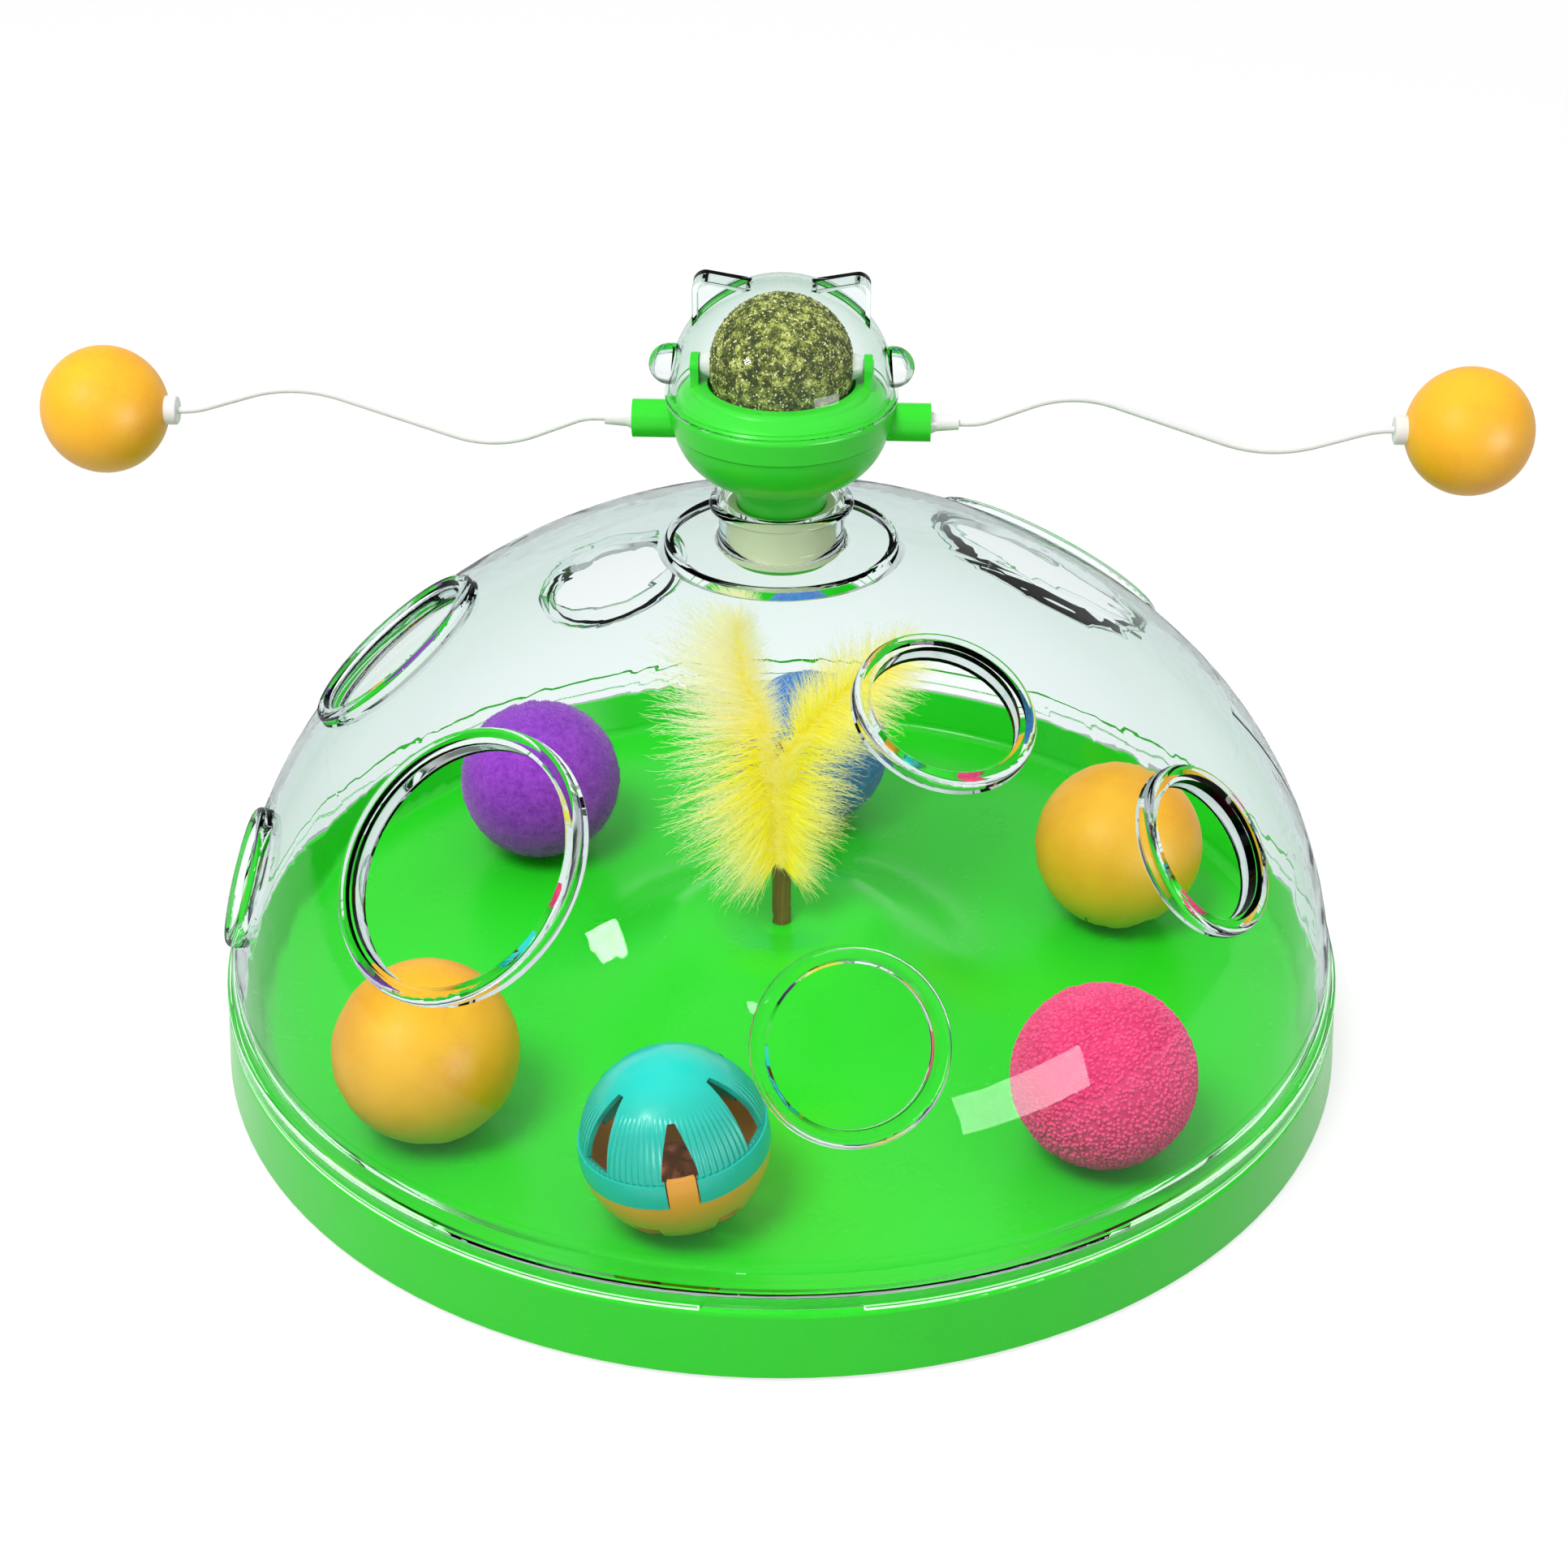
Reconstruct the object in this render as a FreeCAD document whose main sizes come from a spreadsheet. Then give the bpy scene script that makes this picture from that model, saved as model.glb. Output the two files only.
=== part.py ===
"""Cat track ball toy: a tray of loose balls under a clear dome, with a spinning turret in the dome's neck.

Millimetres, +Z up. The origin is the centre of the tray's foot, on the surface that the toy stands on.
"""
import FreeCAD, Part
import Sketcher
import math
import os
from FreeCAD import Placement, Rotation, Vector

# Driving dimensions, with the name that each has in the sheet
DIMENSIONS = {
    # Tray
    "foot_gap": 0.8,
    "base_radius": 129.5,
    "wall_draft": 1.0,
    "wall_thickness": 2.2,
    "shoulder_height": 16.6,
    "spigot_radius": 126.1,
    "spigot_height": 19.0,
    "spigot_thickness": 1.5,
    "floor_height": 9.0,
    "floor_thickness": 2.0,
    "floor_radius": 121.5,
    "floor_fillet": 2.5,
    # Mound in the middle of the tray
    "mound_radius": 60.0,
    "mound_slope": 32.0,
    "mound_foot_curve": 35.0,
    "mound_crest_curve": 20.0,
    "mound_crest_radius": 17.4,
    "dish_radius": 15.6,
    "dish_depth": 1.8,
    "socket_depth": 9.0,
    # Underside of the tray
    "rib_count": 8,
    "rib_thickness": 1.6,
    "pad_count": 4,
    "pad_radius": 7.0,
    "pad_height": 2.0,
    "pad_circle": 104.0,
    # Dome
    "dome_wall": 2.0,
    "skirt_radius": 128.4,
    "skirt_thickness": 1.9,
    "skirt_height": 21.4,
    "bead_radius": 127.0,
    "bead_height": 25.4,
    "side_curve": 97.0,
    "side_centre_radius": 29.97,
    "side_centre_height": 14.2,
    "crown_curve": 137.7,
    "crown_centre_depth": 13.3,
    "plateau_radius": 25.3,
    "plateau_height": 123.9,
    "neck_radius": 13.5,
    "neck_height": 133.4,
    "neck_bore": 11.9,
    "lip_radius": 15.6,
    "paw_bead_width": 3.6,
    "paw_bead_rise": 2.4,
    # Bushing and turret
    "bushing_top": 132.6,
    "bushing_foot": 120.4,
    "bushing_flange": 14.5,
    "running_gap": 0.05,
    "end_play": 0.3,
    "journal_radius": 9.2,
    "stem_radius": 10.0,
    "bowl_foot": 137.6,
    "bowl_radius": 23.0,
    "bowl_height": 150.5,
    "bowl_curve": 15.0,
    "rim_radius": 24.1,
    "rim_height": 156.6,
    "collar_radius": 22.3,
    "collar_height": 159.8,
    "pocket_radius": 16.0,
    "nozzle_radius": 4.05,
    "nozzle_reach": 31.5,
    "nozzle_height": 151.0,
    "nozzle_bore": 2.4,
    "nozzle_bore_depth": 6.5,
    "post_inside": 17.2,
    "post_thickness": 1.7,
    "post_width": 6.0,
    "turret_yaw": -2.3,
    # Catnip ball and its axle
    "catnip_radius": 15.1,
    "axle_height": 163.4,
    "axle_radius": 1.5,
    "axle_reach": 19.2,
    "hub_radius": 3.2,
    # Cat cover
    "cover_centre": 158.5,
    "cover_radius": 23.75,
    "cover_wall": 1.2,
    "cover_flange": 24.5,
    "ear_tip": 182.9,
    "ear_outside": 18.4,
    "ear_inside": 6.2,
    "ear_depth": 7.0,
    "knob_radius": 4.3,
    "knob_reach": 27.8,
    # Wire arms
    "wire_radius": 0.75,
    "relief_reach": 37.4,
    "relief_root": 25.2,
    "wire_flex_point": 36.8,
    "plug_radius": 3.1,
    "plug_proud": 2.2,
    "swat_radius": 13.5,
    "swat_centre": 144.2,
    "shell_wall": 1.2,
    # Balls on the track
    "track_radius": 20.0,
    "rolling_gap": 0.3,
    # Bell ball
    "cage_wall": 1.7,
    "cage_seam": 3.6,
    "tab_width": 5.9,
    "window_count": 8,
    "bell_radius": 7.4,
    "bell_wall": 0.7,
    "bell_drop": 10.4,
    "pellet_radius": 1.9,
    # Feather wand
    "stick_radius": 2.2,
    "stick_top": 72.0,
}

# Paw holes in the dome: azimuth in degrees from +X, height of the centre, radius
PAW_HOLES = {
    "left_large": (-134.0, 85.0, 26.3),
    "rear_large": (47.0, 85.0, 26.3),
    "side_medium": (175.0, 93.0, 19.5),
    "front_small": (-83.0, 68.0, 16.2),
    "right_small": (-31.0, 77.5, 15.4),
    "upper_small": (-57.0, 110.0, 15.8),
    "back_small": (113.0, 63.0, 16.6),
    "low_small": (-172.0, 47.0, 12.5),
}

# Balls on the track: where each one lies at rest
TRACK_BALLS = {
    "purple_ball": (-60.3, 56.1),
    "blue_ball": (7.2, 71.6),
    "pink_ball": (68.3, -67.2),
    "orange_ball_right": (81.1, 25.0),
    "orange_ball_left": (-76.3, -58.4),
}
BELL_BALL_PLACE = (-22.1, -88.4)
BELL_BALL_TURN = 6.0
HOLLOW_BALLS = ("orange_ball_right", "orange_ball_left")

doc = FreeCAD.newDocument("CatTrackBallToy")
sheet = doc.addObject("Spreadsheet::Sheet", "Sizes")


class Size:
    """A length that carries its value and the sheet expression that gives it."""

    def __init__(self, value, text):
        self.value = value
        self.text = text

    def __add__(self, other):
        other = as_size(other)
        return Size(self.value + other.value, f"({self.text} + {other.text})")

    def __sub__(self, other):
        other = as_size(other)
        return Size(self.value - other.value, f"({self.text} - {other.text})")

    def __mul__(self, other):
        other = as_size(other)
        return Size(self.value * other.value, f"({self.text} * {other.text})")

    def __neg__(self):
        return Size(-self.value, f"(0 - {self.text})")


def as_size(number):
    return number if isinstance(number, Size) else Size(float(number), repr(float(number)))


def root(size):
    return Size(math.sqrt(size.value), f"sqrt({size.text})")


def sine(size):
    return Size(math.sin(math.radians(size.value)), f"sin({size.text})")


def cosine(size):
    return Size(math.cos(math.radians(size.value)), f"cos({size.text})")


def fill_sheet():
    """Write every driving dimension into the sheet and return them by name."""
    sizes = {}
    rows = dict(DIMENSIONS)
    for name, (azimuth, height, radius) in PAW_HOLES.items():
        rows[name + "_azimuth"] = azimuth
        rows[name + "_height"] = height
        rows[name + "_radius"] = radius
    for row, (name, value) in enumerate(rows.items(), start=1):
        sheet.set(f"A{row}", name)
        sheet.set(f"B{row}", str(value))
        sheet.setAlias(f"B{row}", name)
        sizes[name] = Size(float(value), f"Sizes.{name}")
    doc.recompute()
    return sizes


S = fill_sheet()


def bind(thing, prop, size):
    """Give a property its value, and its expression when it comes from the sheet."""
    size = as_size(size)
    whole = isinstance(getattr(thing, prop), int)
    setattr(thing, prop, int(size.value) if whole else size.value)
    if "Sizes." in size.text:
        thing.setExpression(prop, size.text)


# Sketches


def new_body(name, placement=None):
    body = doc.addObject("PartDesign::Body", name)
    body.Label = name
    if placement is not None:
        body.Placement = placement
    return body


def new_sketch(body, role, name, offset=None):
    """A sketch on one of the body's own origin planes, moved from it by an offset."""
    plane = next(item for item in body.Origin.OriginFeatures if item.Role == role)
    sketch = body.newObject("Sketcher::SketchObject", name)
    sketch.AttachmentSupport = [(plane, "")]
    sketch.MapMode = "FlatFace"
    if offset is not None:
        sketch.AttachmentOffset = offset
    return sketch


def arc_between(start, end, radius, side):
    """The minor arc from start to end, its centre on the left (side 1) or right (side -1) of the chord."""
    chord = end - start
    reach = math.sqrt(max(radius**2 - (chord.Length / 2) ** 2, 0.0))
    across = Vector(-chord.y, chord.x, 0).normalize()
    centre = (start + end) / 2 + across * (reach * side)
    first, last = (start, end) if side > 0 else (end, start)
    angles = [math.atan2(point.y - centre.y, point.x - centre.x) for point in (first, last)]
    return Part.ArcOfCircle(Part.Circle(centre, Vector(0, 0, 1), radius), angles[0], angles[1])


def hold(sketch, kind, *where, size):
    """Add a dimension, bound to the sheet when its size comes from there."""
    size = as_size(size)
    index = sketch.addConstraint(Sketcher.Constraint(kind, *where, size.value))
    if "Sizes." in size.text:
        sketch.setExpression(f"Constraints[{index}]", size.text)


def pin_point(sketch, edge, end, across, up):
    """Fix one end of an edge by its distances from the sketch's axes."""
    for size, kind, axis in ((across, "DistanceX", -2), (up, "DistanceY", -1)):
        if as_size(size).text == "0.0":
            sketch.addConstraint(Sketcher.Constraint("PointOnObject", edge, end, axis))
        else:
            hold(sketch, kind, -1, 1, edge, end, size=size)


def draw_outline(sketch, steps):
    """A closed outline: (x, y) is a straight run to that point, (x, y, radius, side) an arc to it."""
    points = [Vector(as_size(step[0]).value, as_size(step[1]).value, 0) for step in steps]
    edges = []
    for number, step in enumerate(steps):
        start, end = points[number - 1], points[number]
        if len(step) == 2:
            edge = sketch.addGeometry(Part.LineSegment(start, end), False)
            ends = (1, 2)
        else:
            radius = as_size(step[2])
            edge = sketch.addGeometry(arc_between(start, end, radius.value, step[3]), False)
            ends = (1, 2) if step[3] > 0 else (2, 1)
            hold(sketch, "Radius", edge, size=radius)
        edges.append((edge, ends))
    for number, step in enumerate(steps):
        edge, ends = edges[number]
        after, after_ends = edges[(number + 1) % len(steps)]
        sketch.addConstraint(Sketcher.Constraint("Coincident", edge, ends[1], after, after_ends[0]))
        pin_point(sketch, edge, ends[1], step[0], step[1])


def draw_circle(sketch, across, up, radius):
    centre = Vector(as_size(across).value, as_size(up).value, 0)
    edge = sketch.addGeometry(Part.Circle(centre, Vector(0, 0, 1), as_size(radius).value), False)
    pin_point(sketch, edge, 3, across, up)
    hold(sketch, "Radius", edge, size=radius)


def draw_half_disc(sketch, radius, bore=None):
    """Half of a disc or ring beside the sketch's vertical axis, centred on the origin."""
    radii = [radius] if bore is None else [radius, bore]
    arcs = []
    for size in radii:
        value = as_size(size).value
        circle = Part.Circle(Vector(0, 0, 0), Vector(0, 0, 1), value)
        arc = sketch.addGeometry(Part.ArcOfCircle(circle, -math.pi / 2, math.pi / 2), False)
        sketch.addConstraint(Sketcher.Constraint("Coincident", arc, 3, -1, 1))
        hold(sketch, "Radius", arc, size=size)
        for end in (1, 2):
            sketch.addConstraint(Sketcher.Constraint("PointOnObject", arc, end, -2))
        arcs.append((arc, value))
    outer, reach = arcs[0]
    if bore is None:
        line = sketch.addGeometry(Part.LineSegment(Vector(0, reach, 0), Vector(0, -reach, 0)), False)
        sketch.addConstraint(Sketcher.Constraint("Coincident", outer, 2, line, 1))
        sketch.addConstraint(Sketcher.Constraint("Coincident", outer, 1, line, 2))
        return
    inner, small = arcs[1]
    for end, sign in ((2, 1), (1, -1)):
        line = Part.LineSegment(Vector(0, sign * small, 0), Vector(0, sign * reach, 0))
        line = sketch.addGeometry(line, False)
        sketch.addConstraint(Sketcher.Constraint("Coincident", inner, end, line, 1))
        sketch.addConstraint(Sketcher.Constraint("Coincident", outer, end, line, 2))


# Features


def turned(body, kind, name, steps, offset=None, role="XZ_Plane", axis="V_Axis"):
    """Add (Revolution) or cut away (Groove) an outline turned once round the sketch's own axis."""
    sketch = new_sketch(body, role, name + "_outline", offset)
    draw_outline(sketch, steps)
    return turn_sketch(body, kind, name, sketch, axis)


def turn_sketch(body, kind, name, sketch, axis="V_Axis"):
    feature = body.newObject("PartDesign::" + kind, name)
    feature.Profile = sketch
    feature.ReferenceAxis = (sketch, [axis])
    feature.Angle = 360
    body.Tip = feature
    return feature


def pushed(body, kind, name, sketch, length, both_ways=False, backwards=False):
    """Add (Pad) or cut away (Pocket) a sketch pushed along its normal."""
    feature = body.newObject("PartDesign::" + kind, name)
    feature.Profile = sketch
    feature.SideType = "Symmetric" if both_ways else "One side"
    feature.Reversed = backwards
    bind(feature, "Length", length)
    body.Tip = feature
    return feature


def repeated(body, name, features, sketch, count):
    """The features again at equal steps round the body's Z axis."""
    pattern = body.newObject("PartDesign::PolarPattern", name)
    pattern.Originals = features
    axis = next(item for item in body.Origin.OriginFeatures if item.Role == "Z_Axis")
    pattern.Axis = (axis, [""])
    pattern.Angle = 360
    bind(pattern, "Occurrences", count)
    body.Tip = pattern
    return pattern


def mirrored(body, name, features, role="YZ_Plane"):
    mirror = body.newObject("PartDesign::Mirrored", name)
    mirror.Originals = features
    plane = next(item for item in body.Origin.OriginFeatures if item.Role == role)
    mirror.MirrorPlane = (plane, [""])
    body.Tip = mirror
    return mirror


def primitive(kind, name, placement=None, **sizes):
    """A Part primitive whose sizes are bound to the sheet."""
    thing = doc.addObject("Part::" + kind, name)
    for prop, size in sizes.items():
        bind(thing, prop, size)
    if placement is not None:
        thing.Placement = placement
    return thing


def cut(name, base, tool):
    result = doc.addObject("Part::Cut", name)
    result.Base = base
    result.Tool = tool
    return result


def raised(height):
    """An offset on an upright plane that lifts the sketch's origin to a height."""
    return Placement(Vector(0, as_size(height).value, 0), Rotation())


def along_normal(distance):
    return Placement(Vector(0, 0, as_size(distance).value), Rotation())


TURRET_TURN = Rotation(Vector(0, 0, 1), S["turret_yaw"].value)
ON_TURRET = Placement(Vector(0, 0, 0), TURRET_TURN)


# Tray


def mound_outline(thickness):
    """The mound's slope from its foot to its crest, thickness below its upper surface."""
    slope = S["mound_slope"]
    foot_curve = S["mound_foot_curve"]
    crest_curve = S["mound_crest_curve"]
    foot_centre = S["floor_height"] + foot_curve
    rise = S["mound_radius"] - S["mound_crest_radius"]
    run = rise - (foot_curve + crest_curve) * sine(slope)
    tangent = math.tan(math.radians(slope.value))
    crest_centre_up = (
        foot_centre - (foot_curve + crest_curve) * cosine(slope) + run * Size(tangent, f"tan({slope.text})")
    )
    foot_radius = foot_curve + thickness
    crest_radius = crest_curve - thickness
    return [
        (S["mound_radius"], foot_centre - foot_radius),
        (
            S["mound_radius"] - foot_radius * sine(slope),
            foot_centre - foot_radius * cosine(slope),
            foot_radius,
            -1,
        ),
        (
            S["mound_crest_radius"] + crest_radius * sine(slope),
            crest_centre_up + crest_radius * cosine(slope),
        ),
        (S["mound_crest_radius"], crest_centre_up + crest_radius, crest_radius, 1),
    ]


def make_base_tray():
    body = new_body("base_tray")
    wall_top = S["base_radius"] - S["wall_draft"]
    shoulder = S["shoulder_height"]
    rounding = 1.2
    spigot_inside = S["spigot_radius"] - S["spigot_thickness"]
    upper = mound_outline(as_size(0))
    lower = mound_outline(S["floor_thickness"])
    crest_height = upper[-1][1]
    dish_floor = crest_height - S["dish_depth"]
    dish_foot = 6.0
    socket = S["stick_radius"] + S["running_gap"]
    socket_floor = dish_floor - S["socket_depth"]
    boss = socket + 2.5
    under_dish = dish_floor - S["floor_thickness"]
    inner_wall = S["base_radius"] - S["wall_thickness"]
    steps = [
        (S["base_radius"], S["foot_gap"]),
        (wall_top, shoulder - rounding),
        (wall_top - rounding, shoulder, rounding, 1),
        (S["spigot_radius"], shoulder),
        (S["spigot_radius"], S["spigot_height"]),
        (spigot_inside, S["spigot_height"]),
        (S["floor_radius"] + 0.4, S["floor_height"] + S["floor_fillet"]),
        (S["floor_radius"] - S["floor_fillet"], S["floor_height"], S["floor_fillet"] + 0.3, -1),
        *upper,
        (S["dish_radius"], crest_height),
        (dish_foot, dish_floor),
        (socket, dish_floor),
        (socket, socket_floor),
        (0, socket_floor),
        (0, socket_floor - S["floor_thickness"]),
        (boss, socket_floor - S["floor_thickness"]),
        (boss, under_dish),
        (S["dish_radius"], under_dish),
        *reversed(outline_reversed(lower)),
        (inner_wall - S["wall_draft"], S["floor_height"] - S["floor_thickness"]),
        (inner_wall, S["foot_gap"]),
    ]
    turned(body, "Revolution", "tray", steps)

    rib = new_sketch(body, "XZ_Plane", "rib_outline", along_normal(0))
    rib_top = S["floor_height"] - S["floor_thickness"] * 0.75
    rib_in, rib_out = S["mound_radius"] + 3, inner_wall - 0.6
    rib_foot = S["foot_gap"] + 1.4
    corners = [(rib_out, rib_foot), (rib_out, rib_top), (rib_in, rib_top), (rib_in + 6, rib_foot)]
    draw_outline(rib, corners)
    ribs = pushed(body, "Pad", "rib", rib, S["rib_thickness"], both_ways=True)
    repeated(body, "ribs", [ribs], rib, S["rib_count"])

    across = S["pad_circle"] * math.cos(math.pi / 8)
    along = S["pad_circle"] * math.sin(math.pi / 8)
    boss_sketch = new_sketch(body, "XY_Plane", "pad_boss_outline", along_normal(S["foot_gap"]))
    draw_circle(boss_sketch, across, along, S["pad_radius"] + 1.8)
    boss_height = S["floor_height"] - S["floor_thickness"] * 0.75 - S["foot_gap"]
    bosses = pushed(body, "Pad", "pad_boss", boss_sketch, boss_height)
    repeated(body, "pad_bosses", [bosses], boss_sketch, S["pad_count"])
    seat_sketch = new_sketch(body, "XY_Plane", "pad_seat_outline", along_normal(0))
    draw_circle(seat_sketch, across, along, S["pad_radius"])
    seats = pushed(body, "Pocket", "pad_seat", seat_sketch, S["pad_height"], backwards=True)
    repeated(body, "pad_seats", [seats], seat_sketch, S["pad_count"])
    return body


def outline_reversed(steps):
    """The same run of outline steps, listed so that reading them backwards draws them from the far end."""
    turned_round = []
    for number, step in enumerate(steps):
        follows = steps[number + 1] if number + 1 < len(steps) else step[:2]
        arc = follows[2:] if len(follows) > 2 else ()
        flipped = (arc[0], -arc[1]) if arc else ()
        turned_round.append((step[0], step[1], *flipped))
    return turned_round


def make_pads():
    """Four rubber discs in the seats under the tray."""
    discs = []
    for number in range(int(S["pad_count"].value)):
        angle = math.pi / 8 + number * 2 * math.pi / S["pad_count"].value
        place = Vector(math.cos(angle), math.sin(angle), 0) * S["pad_circle"].value
        disc = primitive("Cylinder", f"pad_{number + 1}", Placement(place, Rotation()))
        bind(disc, "Radius", S["pad_radius"])
        bind(disc, "Height", S["pad_height"])
        discs.append(disc)
    pads = doc.addObject("Part::Compound", "anti_slip_pads")
    pads.Links = discs
    return pads


# Dome


def dome_radius_at(height, inset):
    """The dome's radius and outward slope at a height, inset below its outer surface."""
    centres = math.hypot(
        S["side_centre_radius"].value, S["side_centre_height"].value + S["crown_centre_depth"].value
    )
    meeting = S["side_centre_radius"].value * (1 + S["side_curve"].value / centres)
    side_up = height - S["side_centre_height"].value
    side = S["side_centre_radius"].value + math.sqrt((S["side_curve"].value - inset) ** 2 - side_up**2)
    crown_up = height + S["crown_centre_depth"].value
    crown = math.sqrt((S["crown_curve"].value - inset) ** 2 - crown_up**2)
    if side > meeting:
        return side, Vector(side - S["side_centre_radius"].value, 0, side_up).normalize()
    return crown, Vector(crown, 0, crown_up).normalize()


def make_dome():
    body = new_body("dome_cover")
    wall = S["dome_wall"]
    side, crown = S["side_curve"], S["crown_curve"]
    side_in, side_up = S["side_centre_radius"], S["side_centre_height"]
    crown_down = S["crown_centre_depth"]
    # The side and crown arcs meet on the line through both centres
    between = root(side_in * side_in + (side_up + crown_down) * (side_up + crown_down))
    lean_in = Size(side_in.value / between.value, f"({side_in.text} / {between.text})")
    rise = side_up + crown_down
    lean_up = Size(rise.value / between.value, f"({rise.text} / {between.text})")

    def side_radius(height, radius):
        return side_in + root(radius * radius - (height - side_up) * (height - side_up))

    def crown_height(radius, curve):
        return root(curve * curve - radius * radius) - crown_down

    foot = S["shoulder_height"]
    skirt_inside = S["skirt_radius"] - S["skirt_thickness"]
    ledge = S["spigot_height"] + 0.4
    inner_side, inner_crown = side - wall, crown - wall
    bead_foot = S["bead_height"] + 0.9
    plateau, neck, lip = S["plateau_radius"], S["neck_radius"], S["lip_radius"]
    neck_top, bore = S["neck_height"], S["neck_bore"]
    plateau_under = S["plateau_height"] - wall
    small, fillet = 0.9, 1.6
    steps = [
        (S["skirt_radius"], foot),
        (S["skirt_radius"], S["skirt_height"] - small),
        (S["skirt_radius"] - small, S["skirt_height"], as_size(small), 1),
        (S["bead_radius"], S["skirt_height"] + 0.3),
        (S["bead_radius"], S["bead_height"]),
        (side_radius(bead_foot, side), bead_foot),
        (side_in + side * lean_in, side_up + side * lean_up, side, 1),
        (plateau + fillet, crown_height(plateau + fillet, crown), crown, 1),
        (plateau, S["plateau_height"] - small),
        (plateau - small, S["plateau_height"], as_size(small), 1),
        (neck + fillet, S["plateau_height"]),
        (neck, S["plateau_height"] + fillet, as_size(fillet), -1),
        (neck, neck_top - 3.0),
        (lip, neck_top - 1.5, as_size(2.4), -1),
        (lip - 1.5, neck_top, as_size(1.6), 1),
        (bore + 0.8, neck_top),
        (bore, neck_top - 0.8, as_size(0.8), 1),
        (bore, plateau_under),
        (plateau - wall, plateau_under),
        (plateau - wall + 1.0, crown_height(plateau - wall + 1.0, inner_crown)),
        (side_in + inner_side * lean_in, side_up + inner_side * lean_up, inner_crown, -1),
        (side_radius(ledge, inner_side), ledge, inner_side, -1),
        (skirt_inside, ledge),
        (skirt_inside, foot),
    ]
    turned(body, "Revolution", "shell", steps)
    for name in PAW_HOLES:
        add_paw_hole(body, name)
    add_finger_notch(body)
    return body


def add_paw_hole(body, name):
    """A rounded bead standing square to the dome's surface, and the hole through it."""
    azimuth = S[name + "_azimuth"].value
    height = S[name + "_height"].value
    radius = S[name + "_radius"]
    at_height, outward = dome_radius_at(height, 0)
    tilt = math.degrees(math.atan2(outward.x, outward.z))
    turn = Rotation(Vector(0, 0, 1), azimuth) * Rotation(Vector(0, 1, 0), tilt)
    spot = Rotation(Vector(0, 0, 1), azimuth).multVec(Vector(at_height, 0, height))
    # The upright plane's own frame is turned back first, so that the sketch's vertical axis is the hole's axis
    upright = Rotation(Vector(1, 0, 0), 90)
    offset = Placement(Vector(0, 0, 0), upright).inverse() * Placement(spot, turn * upright)
    fall = radius.value**2 / (2 * S["side_curve"].value)
    crest = S["paw_bead_rise"] - fall
    width = S["paw_bead_width"]
    rounding = 1.5
    bead = [
        (radius, -S["dome_wall"] - fall - 1.2),
        (radius + width * 0.5, -S["dome_wall"] - fall - 1.2),
        (radius + width, -S["dome_wall"] - fall),
        (radius + width, crest - rounding),
        (radius + width - rounding, crest, as_size(rounding), 1),
        (radius, crest),
    ]
    turned(body, "Revolution", name + "_bead", bead, offset)
    half = 9.0
    flare = 0.9
    hole = [
        (0, -half),
        (radius, -half),
        (radius, crest - flare),
        (radius + flare, crest + 0.001),
        (radius + flare, half),
        (0, half),
    ]
    turned(body, "Groove", name + "_hole", hole, offset)


def add_finger_notch(body):
    """Two shallow notches in the foot of the skirt, front and back, to lift the dome by."""
    notch = new_sketch(body, "XZ_Plane", "finger_notch_outline", along_normal(0))
    half, rise = 17.5, 1.1
    foot = S["shoulder_height"]
    corners = [(-half, foot - 1), (half, foot - 1), (half - 2, foot + rise), (-half + 2, foot + rise)]
    draw_outline(notch, corners)
    pushed(body, "Pocket", "finger_notches", notch, S["skirt_radius"] * 2 + 10, both_ways=True)


def make_bushing():
    """An off-white sleeve in the neck, with a flange under the dome's top."""
    body = new_body("neck_bushing")
    bore = S["journal_radius"] + S["running_gap"]
    flange_top = S["plateau_height"] - S["dome_wall"]
    steps = [
        (bore, S["bushing_foot"]),
        (S["bushing_flange"], S["bushing_foot"]),
        (S["bushing_flange"], flange_top),
        (S["neck_bore"], flange_top),
        (S["neck_bore"], S["bushing_top"]),
        (bore, S["bushing_top"]),
    ]
    turned(body, "Revolution", "sleeve", steps)
    return body


# Turret


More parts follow.
